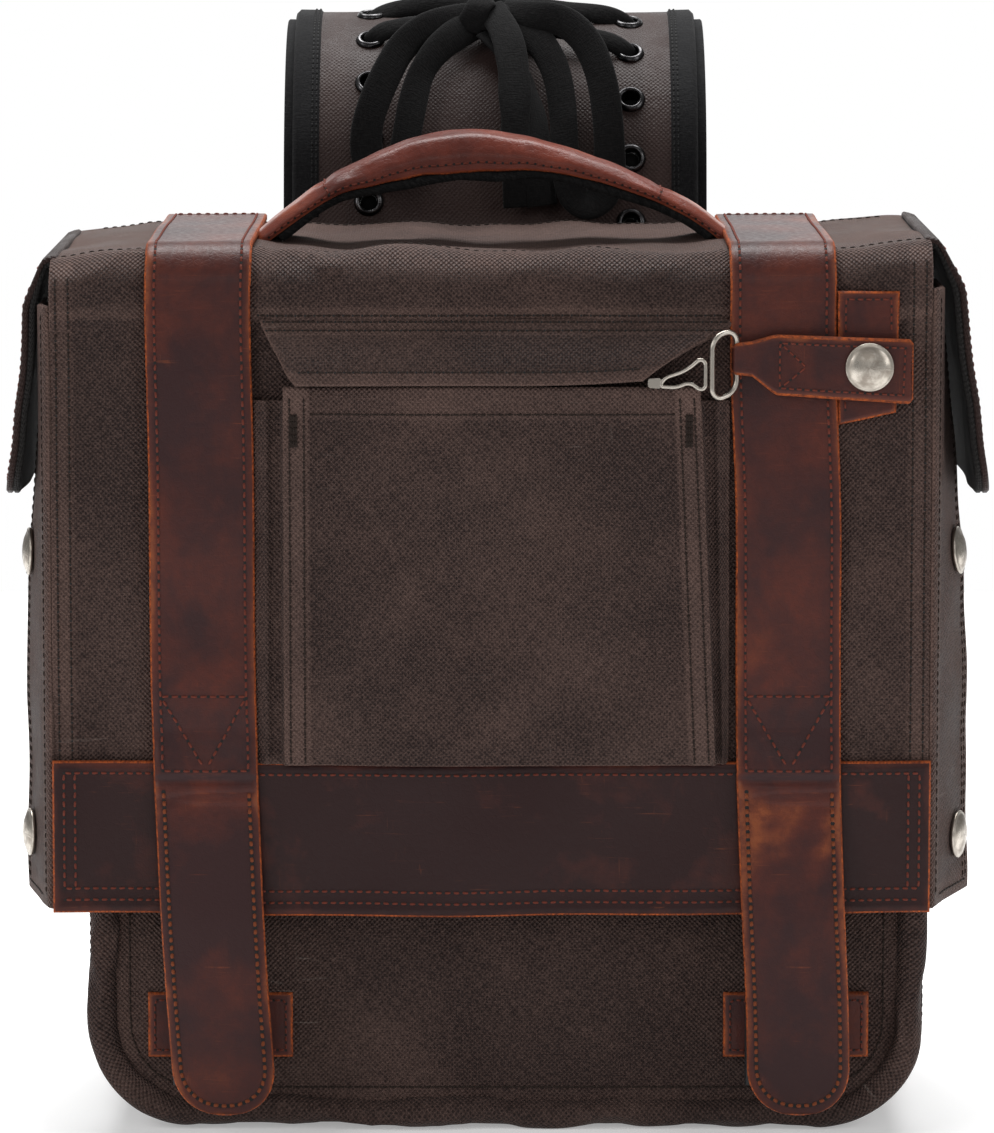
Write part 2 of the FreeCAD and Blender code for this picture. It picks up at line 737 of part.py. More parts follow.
def wire_path(points, closed=False):
    """Straight runs joined by tangent arcs, each as large as its two runs allow."""
    vectors = [Vector(*point) for point in points]
    count = len(vectors)
    bends = {}
    inner = range(count) if closed else range(1, count - 1)
    for index in inner:
        here = vectors[index]
        to_before = vectors[index - 1] - here
        to_after = vectors[(index + 1) % count] - here
        shorter = min(to_before.Length, to_after.Length)
        turn = math.pi - to_before.getAngle(to_after)
        radius = 0.45 * shorter / math.tan(turn / 2)
        reach = radius * math.tan(turn / 2)
        start = here + to_before.normalize() * reach
        end = here + to_after.normalize() * reach
        bisector = (to_before + to_after).normalize()
        middle = here + bisector * (radius / math.cos(turn / 2) - radius)
        bends[index] = (start, middle, end)
    edges = []
    last = count if closed else count - 1
    for index in range(last):
        start = bends[index][2] if index in bends else vectors[index]
        following = (index + 1) % count
        end = bends[following][0] if following in bends else vectors[following]
        edges.append(Part.LineSegment(start, end).toShape())
        if following in bends and (closed or following != count - 1):
            edges.append(Part.Arc(*bends[following]).toShape())
    return Part.Wire(edges)


def tube(points, radius, closed=False):
    """Round tube along a path."""
    path = wire_path(points, closed)
    if closed:
        first = path.Edges[0]
        start = first.valueAt((first.FirstParameter + first.LastParameter) / 2)
        tangent = first.tangentAt(first.FirstParameter)
        half_one = Part.LineSegment(start, first.valueAt(first.LastParameter)).toShape()
        half_two = Part.LineSegment(first.valueAt(first.FirstParameter), start).toShape()
        path = Part.Wire([half_one] + path.Edges[1:] + [half_two])
    else:
        start = path.Edges[0].valueAt(path.Edges[0].FirstParameter)
        tangent = path.Edges[0].tangentAt(path.Edges[0].FirstParameter)
    profile = Part.Wire([Part.makeCircle(radius, start, tangent)])
    return path.makePipeShell([profile], True, True)


def make_clip_ring():
    """Oval wire ring whose straight bar lies in the tab's fold."""
    bar = (RING_BAR_X, tab_middle)
    far = RING_FAR
    half = 11.0
    points = [
        (bar[0], bar[1], snap_z + 3 + half - 0.5), (bar[0], bar[1], snap_z + 2 - half),
        (far[0], far[1], snap_z - 1.5 - half), (far[0], far[1], snap_z + half),
    ]
    shaped("clip_ring", tube(points, wire, closed=True))


def make_wire_clip():
    """Bent wire clip on the ring: two arms that close on a flattened tip."""
    y = RING_FAR[1]
    points = [
        (77.2, y, 283.6), (70.4, y, 277.6), (62.6, y, 275.0), (60.4, y, 271.8),
        (66.8, y, 271.4), (71.4, y, 273.4), (77.2, y, 269.2),
    ]
    arms = tube(points, wire * 0.8, closed=True)
    tip = prism([(56.5, 274.6, 1), (61.2, 275.0, 1), (61.2, 271.0, 1), (56.5, 271.4, 1)],
                "y", y + 0.7, y - 0.7)
    shaped("wire_clip", arms.fuse(tip).removeSplitter())


make_key_tab_base()
make_key_tab()
make_key_tab_cap()
make_clip_ring()
make_wire_clip()

# ---------------------------------------------------------------- carrying handle

grip_half = dim("handle_grip_half")
arch_z = dim("handle_centre_z")
half_handle = dim("handle_width") / 2


def arch_layer(label, outer, inner, half_depth):
    """One layer of the arched grip, between two radii and cut off square at both ends."""
    centre = Vector(0, -half_depth, arch_z)
    rim = Part.makeCylinder(outer, 2 * half_depth, centre, Vector(0, 1, 0))
    rim = rim.cut(Part.makeCylinder(inner, 2 * half_depth, centre, Vector(0, 1, 0)))
    span = block((-grip_half, -half_depth - 1, lid_over + 2), (grip_half, half_depth + 1, arch_z + outer + 5))
    shaped(label, rim.common(span))


def make_handle_end(sign, label):
    """Flat leather end of the handle, from the grip down to the strap that holds it."""
    reach = dim("handle_end")
    near = grip_half + 0.9
    outer = dim("handle_outer")

    def arch_height(radius, x):
        return arch_z + math.sqrt(radius ** 2 - x ** 2)

    top = arch_height(outer, near)
    under = arch_height(outer - 10.7, near)
    corners = [
        (sign * near, top, 0), (sign * (reach - 12), lid_over + 9.5, 12), (sign * reach, lid_over + 3.3, 0),
        (sign * reach, lid_over + 0.1, 0), (sign * (reach - 12), lid_over + 4.5, 10), (sign * near, under, 0),
    ]
    shaped(label, prism(corners, "y", half_handle, -half_handle))


handle_outer = dim("handle_outer")
arch_layer("handle_leather", handle_outer, handle_outer - 3.0, half_handle)
arch_layer("handle_core", handle_outer - 3.0, handle_outer - 8.7, half_handle - 2)
arch_layer("handle_webbing", handle_outer - 8.7, handle_outer - 10.7, half_handle - 1)
make_handle_end(-1, "handle_end_left")
make_handle_end(1, "handle_end_right")

# ---------------------------------------------------------------- yoke

arch = dim("yoke_arch")
lean = math.radians(dim("yoke_lean"))
arch_y = dim("yoke_start_y") + arch * math.cos(lean)
arch_base_z = dim("yoke_start_z") - arch * math.sin(lean)
yoke_mid = dim("yoke_mid")
yoke_half = dim("yoke_half_width")
yoke_foot = dim("yoke_foot")


def yoke_point(along, out):
    """(y, z) at a distance along the yoke's face from where its arch starts, and out from the face."""
    if along < 0:
        y = dim("yoke_start_y") + along * math.sin(lean) - out * math.cos(lean)
        z = dim("yoke_start_z") + along * math.cos(lean) + out * math.sin(lean)
        return y, z
    angle = lean + along / arch
    return arch_y - (arch + out) * math.cos(angle), arch_base_z + (arch + out) * math.sin(angle)


def yoke_layer(near, far, x_low, x_high, start, end):
    """Curved slab of the yoke between two depths under its face and two distances along it."""
    def at(along, depth):
        y, z = yoke_point(along, -depth)
        return Vector(x_low, y, z)

    edges = []
    first = max(start, 0.0)
    middle = (first + end) / 2
    if start < 0:
        edges.append(Part.LineSegment(at(start, near), at(0, near)).toShape())
    edges.append(Part.Arc(at(first, near), at(middle, near), at(end, near)).toShape())
    edges.append(Part.LineSegment(at(end, near), at(end, far)).toShape())
    edges.append(Part.Arc(at(end, far), at(middle, far), at(first, far)).toShape())
    if start < 0:
        edges.append(Part.LineSegment(at(0, far), at(start, far)).toShape())
    edges.append(Part.LineSegment(at(start, far), at(start, near)).toShape())
    return Part.Face(Part.Wire(edges)).extrude(Vector(x_high - x_low, 0, 0))


front_layer = dim("yoke_layer")
both_layers = front_layer + dim("yoke_back_layer")
binding = dim("yoke_binding")
yoke_end = arch * (math.radians(dim("yoke_end_angle")) - lean)
END_BINDING = 6.0


def eyelet_seats():
    """Centre and outward direction of each eyelet, row by row, left column first."""
    seats = []
    for row in range(5):
        for sign in (-1, 1):
            along = -17.5 + row * dim("eyelet_pitch") - sign * dim("eyelet_skew")
            y, z = yoke_point(along, 0)
            y_out, z_out = yoke_point(along, 1)
            x = dim("eyelet_mid") + sign * dim("eyelet_spread")
            seats.append((Vector(x, y, z), Vector(0, y_out - y, z_out - z)))
    return seats


def make_yoke():
    """Arched yoke: canvas face, wider backing, bound edges and two columns of eyelets."""
    left = yoke_mid - yoke_half
    right = yoke_mid + yoke_half
    face = yoke_layer(0, front_layer, left + binding, right - binding, -yoke_foot, yoke_end - END_BINDING)
    backing = yoke_layer(front_layer, both_layers, left - 3.5, right + 3.5, -yoke_foot, yoke_end)
    edging = yoke_layer(0, front_layer, left, left + binding, -yoke_foot, yoke_end - END_BINDING)
    edging = edging.fuse([
        yoke_layer(0, front_layer, right - binding, right, -yoke_foot, yoke_end - END_BINDING),
        yoke_layer(0, front_layer, left, right, yoke_end - END_BINDING, yoke_end),
    ]).removeSplitter()
    bore = dim("eyelet_bore") / 2
    barrel = bore + 0.7
    flange = dim("eyelet_size") / 2
    rings = []
    for seat, outward in eyelet_seats():
        hole = Part.makeCylinder(barrel, 20, seat - outward * 10, outward)
        face = face.cut(hole)
        backing = backing.cut(hole)
        ring = Part.makeCylinder(barrel, both_layers + 2.7, seat - outward * (both_layers + 1.5), outward)
        upper = Part.makeCylinder(flange, 1.1, seat + outward * 0.1, outward)
        lower = Part.makeCylinder(flange, 1.1, seat - outward * (both_layers + 1.5), outward)
        ring = ring.fuse([upper, lower])
        ring = ring.cut(Part.makeCylinder(bore, 20, seat - outward * 10, outward))
        rings.append(ring.removeSplitter())
    shaped("yoke_panel", face)
    shaped("yoke_backing", backing)
    shaped("yoke_binding", edging)
    shaped("yoke_eyelets", Part.makeCompound(rings))


make_yoke()
keep(box("yoke_mounting_panel", "2 * Dims.yoke_half_width", "Dims.yoke_layer",
         "Dims.mounting_high - Dims.mounting_low", x="Dims.yoke_mid - Dims.yoke_half_width",
         y="Dims.body_back", z="Dims.mounting_low"), "yoke_mounting_panel")

# ---------------------------------------------------------------- lace

# Routes of the free lace, point by point, from the knot outwards.
LACE_ROUTES = {
    "lace_loop_left": [
        (-6.0, 111.0, 397.0), (-20.0, 102.0, 396.0), (-33.5, 92.0, 388.0), (-41.0, 82.5, 375.0),
        (-46.5, 76.0, 362.0), (-48.6, 73.0, 351.5), (-47.2, 71.6, 341.5), (-41.2, 71.2, 336.0),
        (-35.2, 72.0, 341.5), (-32.6, 75.0, 352.0), (-30.4, 80.5, 364.5), (-26.5, 89.0, 378.0),
        (-17.0, 99.0, 389.0), (-6.0, 108.0, 394.5),
    ],
    "lace_loop_right": [
        (4.0, 111.0, 398.0), (15.5, 101.5, 398.0), (28.0, 97.5, 396.5), (37.5, 90.5, 388.0),
        (42.5, 83.0, 375.0), (44.8, 76.5, 360.0), (45.6, 73.0, 346.0), (45.4, 71.9, 335.5),
        (42.4, 71.4, 328.0), (36.4, 71.2, 325.0), (31.0, 71.6, 329.5), (28.8, 73.0, 338.0),
        (28.0, 76.0, 350.0), (27.4, 82.5, 365.0), (24.5, 91.0, 379.5), (16.0, 100.0, 391.5),
        (4.0, 108.0, 395.0),
    ],
    "lace_end_left": [
        (-1.0, 109.0, 400.5), (5.5, 98.5, 393.5), (8.8, 86.5, 378.5), (9.4, 77.5, 362.5),
        (9.0, 72.5, 347.5), (10.2, 71.0, 335.5), (11.0, 71.4, 325.0),
    ],
    "lace_end_right": [
        (-1.5, 105.0, 391.0), (7.0, 98.0, 383.0), (14.0, 89.5, 371.5), (18.0, 81.0, 358.0),
        (19.2, 75.2, 344.5), (19.0, 72.8, 333.5), (20.0, 72.6, 325.5),
    ],
}
lace_radius = dim("lace_size") / 2
KNOT_CENTRE = (-1.0, 110.5, 396.5)


def make_free_laces():
    """Bow loops and ends of the lace, as tubes along their routes."""
    for label, route in LACE_ROUTES.items():
        shaped(label, tube(route, lace_radius))


def lace_run(seat_from, out_from, target, middle_out):
    """Taut stretch of lace from above an eyelet to a target point, slightly bowed outwards."""
    start = seat_from[0] + seat_from[1] * out_from
    middle = (start + target) * 0.5 + seat_from[1] * middle_out
    return tube([tuple(start), tuple(middle), tuple(target)], lace_radius)


def make_rungs():
    """Rung between the two end eyelets, and the two runs that come up into the knot."""
    seats = eyelet_seats()
    left_two, right_two, left_one, right_one = seats[6], seats[7], seats[8], seats[9]
    above = lace_radius + 1.7
    far = right_one[0] + right_one[1] * above
    rung = lace_run(left_one, above, far, 2.5)
    left_run = lace_run(left_two, above, Vector(-13.0, 112.5, 395.5), 1.0)
    right_run = lace_run(right_two, above, Vector(10.5, 110.0, 393.5), 1.5)
    shaped("lace_rungs", Part.makeCompound([rung, left_run, right_run]))


def make_knot():
    """Bow knot, as one rounded lump."""
    ball = Part.makeSphere(1)
    stretch = FreeCAD.Matrix()
    stretch.scale(Vector(10.5, 7.0, 6.5))
    knot = ball.transformGeometry(stretch)
    knot.Placement = Placement(Vector(*KNOT_CENTRE), Rotation(Vector(1, 0, 0), -35))
    shaped("lace_knot", knot)


make_free_laces()
make_rungs()
make_knot()

# ---------------------------------------------------------------- checks and STEP files

doc.recompute()
for obj in doc.Objects:
    if "Invalid" in obj.State or "Error" in obj.State:
        raise RuntimeError(f"{obj.Name} failed: {obj.State}")

os.makedirs("parts", exist_ok=True)
lift = Vector(0, 0, dim("base_drop"))
for obj in parts:
    shape = obj.Shape.copy()
    shape.translate(lift)
    if shape.isNull() or not shape.isValid() or not shape.Solids:
        raise RuntimeError(f"{obj.Label} has no valid solid")
    shape.exportStep(f"parts/{obj.Label}.step")
print(len(parts), "sub-parts written")
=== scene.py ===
"""Looks of the throw-over saddlebag: canvas, leather, stitching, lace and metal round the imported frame."""
import math

import bpy
import numpy as np
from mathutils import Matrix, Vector


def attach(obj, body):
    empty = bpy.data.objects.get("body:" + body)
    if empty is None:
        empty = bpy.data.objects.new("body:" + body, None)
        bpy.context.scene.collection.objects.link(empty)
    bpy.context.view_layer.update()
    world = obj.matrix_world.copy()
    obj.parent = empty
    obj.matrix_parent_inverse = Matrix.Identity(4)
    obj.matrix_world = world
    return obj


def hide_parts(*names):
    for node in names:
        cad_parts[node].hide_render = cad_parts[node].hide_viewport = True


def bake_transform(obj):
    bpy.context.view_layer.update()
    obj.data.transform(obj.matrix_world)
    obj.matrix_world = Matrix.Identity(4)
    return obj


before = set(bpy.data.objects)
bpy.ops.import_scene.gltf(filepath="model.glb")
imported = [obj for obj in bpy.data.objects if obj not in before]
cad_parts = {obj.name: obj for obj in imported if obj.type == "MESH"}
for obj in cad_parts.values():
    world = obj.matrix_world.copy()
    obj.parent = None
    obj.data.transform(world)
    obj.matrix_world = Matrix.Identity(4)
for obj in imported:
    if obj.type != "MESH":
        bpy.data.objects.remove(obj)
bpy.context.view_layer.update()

MM = 0.001               # lengths below are in millimetres; meshes are scaled to metres as they're made
DROP = 6.0               # heights are from the tails' level, and the base on the floor is this much below it


def spot(x, y, z):
    """A point in metres, above the floor, from millimetres above the tails' level."""
    return (x * MM, y * MM, (z + DROP) * MM)


def metres(points):
    """Points in metres, above the floor, from millimetres above the tails' level."""
    return (np.asarray(points, float) + (0, 0, DROP)) * MM


def millimetres(vertices):
    """The inverse of metres, for a mesh's vertices."""
    return np.array([vertex.co for vertex in vertices]) / MM - (0, 0, DROP)


# ---------------------------------------------------------------- numbers and curves

def smooth(x, low, high):
    """0 below low, 1 above high, smooth between."""
    t = np.clip((np.asarray(x, float) - low) / (high - low), 0, 1)
    return t * t * (3 - 2 * t)


def hump(x, middle, half_width):
    """1 at the middle, falling smoothly to 0 at half_width either side."""
    return 1 - smooth(np.abs(np.asarray(x, float) - middle), 0, half_width)


def waves(points, size, seed, count=8):
    """Smooth random field of about -1 to 1 of a given size."""
    random = np.random.RandomState(seed)
    total = np.zeros(points.shape[:-1])
    for _ in range(count):
        direction = random.normal(size=3)
        direction /= np.linalg.norm(direction)
        length = size * random.uniform(0.75, 1.7)
        total += np.sin(points @ direction * (2 * math.pi / length) + random.uniform(0, 2 * math.pi))
    return total / (1.3 * math.sqrt(count))


def stack(*parts):
    """Broadcasts coordinates together into points."""
    return np.stack(np.broadcast_arrays(*[np.asarray(part, float) for part in parts]), axis=-1)


class Path:
    """Flat path through (p, q, radius) corners, with round corners, looked up by distance along it."""

    def __init__(self, corners, step=0.4):
        points = []
        corners = [(np.array(corner[:2], float), corner[2] if len(corner) > 2 else 0.0) for corner in corners]
        for index, (here, radius) in enumerate(corners):
            if radius == 0 or index in (0, len(corners) - 1):
                points.append(here[None, :])
                continue
            back = corners[index - 1][0] - here
            ahead = corners[index + 1][0] - here
            back /= np.linalg.norm(back)
            ahead /= np.linalg.norm(ahead)
            half = math.acos(np.clip(back @ ahead, -1, 1)) / 2
            reach = radius / math.tan(half)
            bisector = (back + ahead) / np.linalg.norm(back + ahead)
            centre = here + bisector * radius / math.sin(half)
            start = here + back * reach - centre
            end = here + ahead * reach - centre
            sweep = math.pi - 2 * half
            share = np.linspace(0, 1, max(6, int(radius * sweep / step)))[:, None]
            arc = (np.sin((1 - share) * sweep) * start + np.sin(share * sweep) * end) / math.sin(sweep)
            points.append(centre + arc)
        points = np.concatenate(points)
        gaps = np.linalg.norm(np.diff(points, axis=0), axis=1)
        keep = np.concatenate([[True], gaps > 1e-6])
        self.points = points[keep]
        self.far = np.concatenate([[0], np.cumsum(np.linalg.norm(np.diff(self.points, axis=0), axis=1))])
        self.length = float(self.far[-1])

    def at(self, distance):
        distance = np.asarray(distance, float)
        return tuple(np.interp(distance, self.far, self.points[:, axis]) for axis in (0, 1))

    def where(self, axis, value, after=0.0):
        """First distance past `after` where the path crosses a value of one coordinate."""
        samples = np.linspace(after, self.length, 4000)
        found = self.at(samples)[axis] - value
        crossing = np.nonzero(np.sign(found[1:]) != np.sign(found[:-1]))[0]
        return float(samples[crossing[0]])


def normals(place, a, b, step=0.6):
    """Unit normals of a surface, by small steps along its two coordinates."""
    across = place(a + step, b) - place(a - step, b)
    along = place(a, b + step) - place(a, b - step)
    found = np.cross(across, along)
    return found / np.maximum(np.linalg.norm(found, axis=-1, keepdims=True), 1e-12)


def above(place, height, flip=False):
    """The surface moved out along its normals by a height."""
    sign = -1 if flip else 1

    def lifted(a, b):
        a, b = np.broadcast_arrays(np.asarray(a, float), np.asarray(b, float))
        return place(a, b) + normals(place, a, b) * sign * height
    return lifted


# ---------------------------------------------------------------- meshes

def finish_piece(piece, slot, body, materials, replaced=(), bend=None):
    """Gives a piece the body it rides on and its materials, and hides the CAD nodes it stands for; its slot is not
    used.

    A piece that crosses a hinge has bend instead of a body: two bodies and where it turns between them. These are not
    used: the piece is only baked in place, on no body.
    """
    for material in materials:
        piece.data.materials.append(material)
    if bend:
        first, second, start, end = bend
        spot(*start)
        spot(*end)
        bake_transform(piece)
    else:
        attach(piece, body)
    if replaced:
        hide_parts(*replaced)
    return piece


def mesh_object(name, points, faces, uv=None, wear_and_painted_light=None, indices=None, shade=True):
    """A mesh object from arrays, with a UV map in metres and an attribute of wear that also carries painted light on
    some pieces.
    """
    mesh = bpy.data.meshes.new(name)
    mesh.from_pydata([tuple(point) for point in metres(points).tolist()], [], faces)
    if indices is not None:
        mesh.polygons.foreach_set("material_index", np.asarray(indices, np.int32))
    if uv is not None:
        corners = np.empty(len(mesh.loops), np.int32)
        mesh.loops.foreach_get("vertex_index", corners)
        layer = mesh.uv_layers.new(name="UVMap")
        layer.data.foreach_set("uv", (np.asarray(uv, np.float32)[corners] * MM).ravel())
    attribute = mesh.attributes.new("wear_and_painted_light", "FLOAT", "POINT")
    values = np.zeros(len(points)) if wear_and_painted_light is None else wear_and_painted_light
    attribute.data.foreach_set("value", np.asarray(values, np.float32))
    if shade:
        mesh.polygons.foreach_set("use_smooth", [True] * len(mesh.polygons))
    mesh.validate()
    mesh.update()
    piece = bpy.data.objects.new(name, mesh)
    bpy.context.scene.collection.objects.link(piece)
    return piece


def grid_faces(rows, columns, offset=0, flip=False, closed=False):
    """Quads of a grid of vertices, row by row; closed joins the last column to the first."""
    faces = []
    last = columns if closed else columns - 1
    for row in range(rows - 1):
        for column in range(last):
            following = (column + 1) % columns
            quad = (offset + row * columns + column, offset + row * columns + following,
                    offset + (row + 1) * columns + following, offset + (row + 1) * columns + column)
            faces.append(quad[::-1] if flip else quad)
    return faces


def spread(low, high, step):
    """Even stations from low to high, at about a given step."""
    return np.linspace(low, high, max(2, int(round((high - low) / step)) + 1))


def slab_mesh(name, place, rows, limits, columns, thick, rim=0.24, wear_and_painted_light=None, flip=False):
    """Closed sheet of an even thickness: its face lies on the surface, and its rim is rounded.

    rows are distances b along the surface, limits(b) gives the lowest and highest a, and columns
    spaces the vertices between them. Faces have material index 0, the rim 1 and the back 2.
    """
    rows = np.asarray(rows, float)
    share = np.linspace(0, 1, columns)
    left, right = limits(rows)
    full_a = left[:, None] + (right - left)[:, None] * share[None, :]
    full_b = np.repeat(rows[:, None], columns, axis=1)
    round_in = np.minimum(rim * thick, 0.2 * (right - left))[:, None]
    inset_a = left[:, None] + round_in + ((right - left)[:, None] - 2 * round_in) * share[None, :]
    inset_b = full_b.copy()
    inset_b[0] += rim * thick
    inset_b[-1] -= rim * thick
    sign = -1 if flip else 1
    out = normals(place, full_a, full_b) * sign
    face = place(inset_a, inset_b)
    edge = place(full_a, full_b)
    count = len(rows) * columns
    ring = ([(0, c) for c in range(columns)] + [(r, columns - 1) for r in range(1, len(rows))]
            + [(len(rows) - 1, c) for c in range(columns - 2, -1, -1)]
            + [(r, 0) for r in range(len(rows) - 2, 0, -1)])
    ring_index = np.array([r * columns + c for r, c in ring])
    flat_edge = edge.reshape(-1, 3)[ring_index]
    flat_out = out.reshape(-1, 3)[ring_index]
    back = face - out * thick
    upper = flat_edge - flat_out * thick * rim
    lower = flat_edge - flat_out * thick * (1 - rim)
    points = np.concatenate([face.reshape(-1, 3), back.reshape(-1, 3), upper, lower])
    faces = grid_faces(len(rows), columns, 0, flip)
    indices = [0] * len(faces)
    back_faces = grid_faces(len(rows), columns, count, not flip)
    faces += back_faces
    indices += [2] * len(back_faces)
    total = len(ring)
    for index in range(total):
        following = (index + 1) % total
        chain = [(ring_index[index], ring_index[following]),
                 (2 * count + index, 2 * count + following),
                 (2 * count + total + index, 2 * count + total + following),
                 (count + ring_index[index], count + ring_index[following])]
        for (p, q), (r, s) in zip(chain, chain[1:]):
            quad = (int(p), int(r), int(s), int(q))
            faces.append(quad if not flip else quad[::-1])
            indices.append(1)
    flat_uv = np.stack([inset_a, inset_b], -1).reshape(-1, 2)
    edge_uv = np.stack([full_a, full_b], -1).reshape(-1, 2)[ring_index]
    uv = np.concatenate([flat_uv, flat_uv, edge_uv, edge_uv + 2])
    if wear_and_painted_light is None:
        values = None
    else:
        near = np.minimum(full_a - left[:, None], right[:, None] - full_a)
        near = np.minimum(near, np.minimum(full_b - rows[0], rows[-1] - full_b))
        worn = wear_and_painted_light(full_a, full_b, near, face).reshape(-1)
        values = np.concatenate([worn, worn, np.ones(total), np.ones(total)])
    return mesh_object(name, points, faces, uv, values, indices)


def band_of(low, high):
    """Limits for a strip of constant width."""
    return lambda rows: (np.full(len(rows), low), np.full(len(rows), high))


def along(place, line, pitch):
    """(a, b) stations at an even spacing in space along a line of (a, b) points on a surface."""
    line = np.asarray(line, float)
    share = np.linspace(0, 1, 60)
    dense = np.concatenate([line[i] + (line[i + 1] - line[i]) * share[:, None] for i in range(len(line) - 1)])
    points = place(dense[:, 0], dense[:, 1])
    far = np.concatenate([[0], np.cumsum(np.linalg.norm(np.diff(points, axis=0), axis=1))])
    count = max(1, int(far[-1] / pitch))
    marks = (np.arange(count) + 0.5) * far[-1] / count
    half = 0.36 * far[-1] / count
    starts = np.stack([np.interp(marks - half, far, dense[:, k]) for k in (0, 1)], -1)
    ends = np.stack([np.interp(marks + half, far, dense[:, k]) for k in (0, 1)], -1)
    return starts, ends


STITCH_STATIONS = np.array([0.0, 0.2, 0.5, 0.8, 1.0])
STITCH_GIRTH = np.array([0.35, 0.9, 1.0, 0.9, 0.35])
STITCH_RISE = np.array([-0.5, 0.25, 0.45, 0.25, -0.5])


def stitch_mesh(name, place, lines, pitch=3.1, radius=0.42, flip=False, sides=5):
    """Thread stitches as small raised lozenges between needle holes, along lines on a surface.

    The thread has material index 0 and the holes 1: flat near-black patches that paint the shade in the needle holes.
    """
    starts, ends = zip(*[along(place, line, pitch) for line in lines])
    starts, ends = np.concatenate(starts), np.concatenate(ends)
    first = place(starts[:, 0], starts[:, 1])
    last = place(ends[:, 0], ends[:, 1])
    middle_a, middle_b = ((starts + ends) / 2).T
    out = normals(place, middle_a, middle_b) * (-1 if flip else 1)
    centre = place(middle_a, middle_b)
    run = last - first
    run /= np.maximum(np.linalg.norm(run, axis=1, keepdims=True), 1e-9)
    side = np.cross(out, run)
    random = np.random.RandomState(len(starts))
    tilt = random.uniform(-0.12, 0.12, len(starts))[:, None]
    rings, faces = [], []
    angles = np.linspace(0, 2 * math.pi, sides, endpoint=False)
    stations = len(STITCH_STATIONS)
    for station, girth, rise in zip(STITCH_STATIONS, STITCH_GIRTH, STITCH_RISE):
        spine = first * (1 - station) + last * station
        if station not in (0.0, 1.0):
            spine = spine + (centre - (first + last) / 2)
        spine = spine + out * radius * rise + side * tilt * radius * (station - 0.5) * 4
        for angle in angles:
            rings.append(spine + (side * math.cos(angle) + out * math.sin(angle) * 0.8) * radius * girth)
    threads = np.stack(rings, axis=1)
    per = stations * sides
    for index in range(len(starts)):
        base = index * per
        faces += grid_faces(stations, sides, base, closed=True)
        faces.append(tuple(base + k for k in range(sides)))
        faces.append(tuple(base + (stations - 1) * sides + k for k in reversed(range(sides))))
    indices = [0] * len(faces)
    # Painted shade: a flat near-black hexagon just over each needle hole.
    hole_at = first - run * 0.16 * np.linalg.norm(last - first, axis=1, keepdims=True) + out * 0.06
    hexagon = np.linspace(0, 2 * math.pi, 6, endpoint=False)
    holes = np.stack([hole_at + (side * math.cos(angle) + run * math.sin(angle)) * radius * 1.2
                      for angle in hexagon], axis=1)
    base = len(starts) * per
    faces += [tuple(base + 6 * index + k for k in range(6)) for index in range(len(starts))]
    indices += [1] * len(starts)
    points = np.concatenate([threads.reshape(-1, 3), holes.reshape(-1, 3)])
    return mesh_object(name, points, faces, indices=indices)


def sweep_mesh(name, spine, across, up, section, closed_ends=True, uv_scale=1.0):
    """Tube of any section: spine points, two directions per point, and section(k) offsets (n, m, 2)."""
    offsets = section
    rows, sides = offsets.shape[:2]
    points = (spine[:, None, :] + across[:, None, :] * offsets[:, :, :1] + up[:, None, :] * offsets[:, :, 1:])
    faces = grid_faces(rows, sides, closed=True)
    far = np.concatenate([[0], np.cumsum(np.linalg.norm(np.diff(spine, axis=0), axis=1))])
    girth = np.linspace(0, 1, sides, endpoint=False) * np.linalg.norm(offsets[rows // 2, 0]) * 2 * math.pi
    uv = np.stack(np.broadcast_arrays(girth[None, :] * uv_scale, far[:, None]), -1).reshape(-1, 2)
    flat = points.reshape(-1, 3)
    if closed_ends:
        for row, order in ((0, 1), (rows - 1, -1)):
            ring = [row * sides + k for k in range(sides)]
            flat = np.concatenate([flat, flat[ring].mean(axis=0)[None, :]])
            uv = np.concatenate([uv, uv[ring[:1]]])
            tip = len(flat) - 1
            for k in range(sides):
                triangle = (ring[k], tip, ring[(k + 1) % sides])
                faces.append(triangle[::order])
    return mesh_object(name, flat, faces, uv)


def lathe_mesh(name, centre, axis, profile, sides=28, stretch=(1, 1)):
    """Turned shape: (radius, height) profile about an axis through a centre."""
    axis = np.array(axis, float) / np.linalg.norm(axis)
    helper = np.array([0.0, 0.0, 1.0]) if abs(axis[2]) < 0.9 else np.array([1.0, 0.0, 0.0])
    side = np.cross(helper, axis)
    side /= np.linalg.norm(side)
    other = np.cross(axis, side)
    angles = np.linspace(0, 2 * math.pi, sides, endpoint=False)
    round_out = side * np.cos(angles)[:, None] * stretch[0] + other * np.sin(angles)[:, None] * stretch[1]
    profile = np.asarray(profile, float)
    points = (np.asarray(centre, float) + axis * profile[:, 1, None, None]
              + round_out[None, :, :] * profile[:, 0, None, None])
    far = np.concatenate([[0], np.cumsum(np.linalg.norm(np.diff(profile, axis=0), axis=1))])
    uv = np.stack(np.broadcast_arrays(angles[None, :] * 4, far[:, None]), -1).reshape(-1, 2)
    return mesh_object(name, points.reshape(-1, 3), grid_faces(len(profile), sides, closed=True), uv)


def joined(name, pieces):
    """One object from several, made in the same way."""
    kept = pieces[0]
    kept.name = name
    kept.data.name = name
    with bpy.context.temp_override(active_object=kept, selected_editable_objects=pieces, selected_objects=pieces):
        bpy.ops.object.join()
    return kept


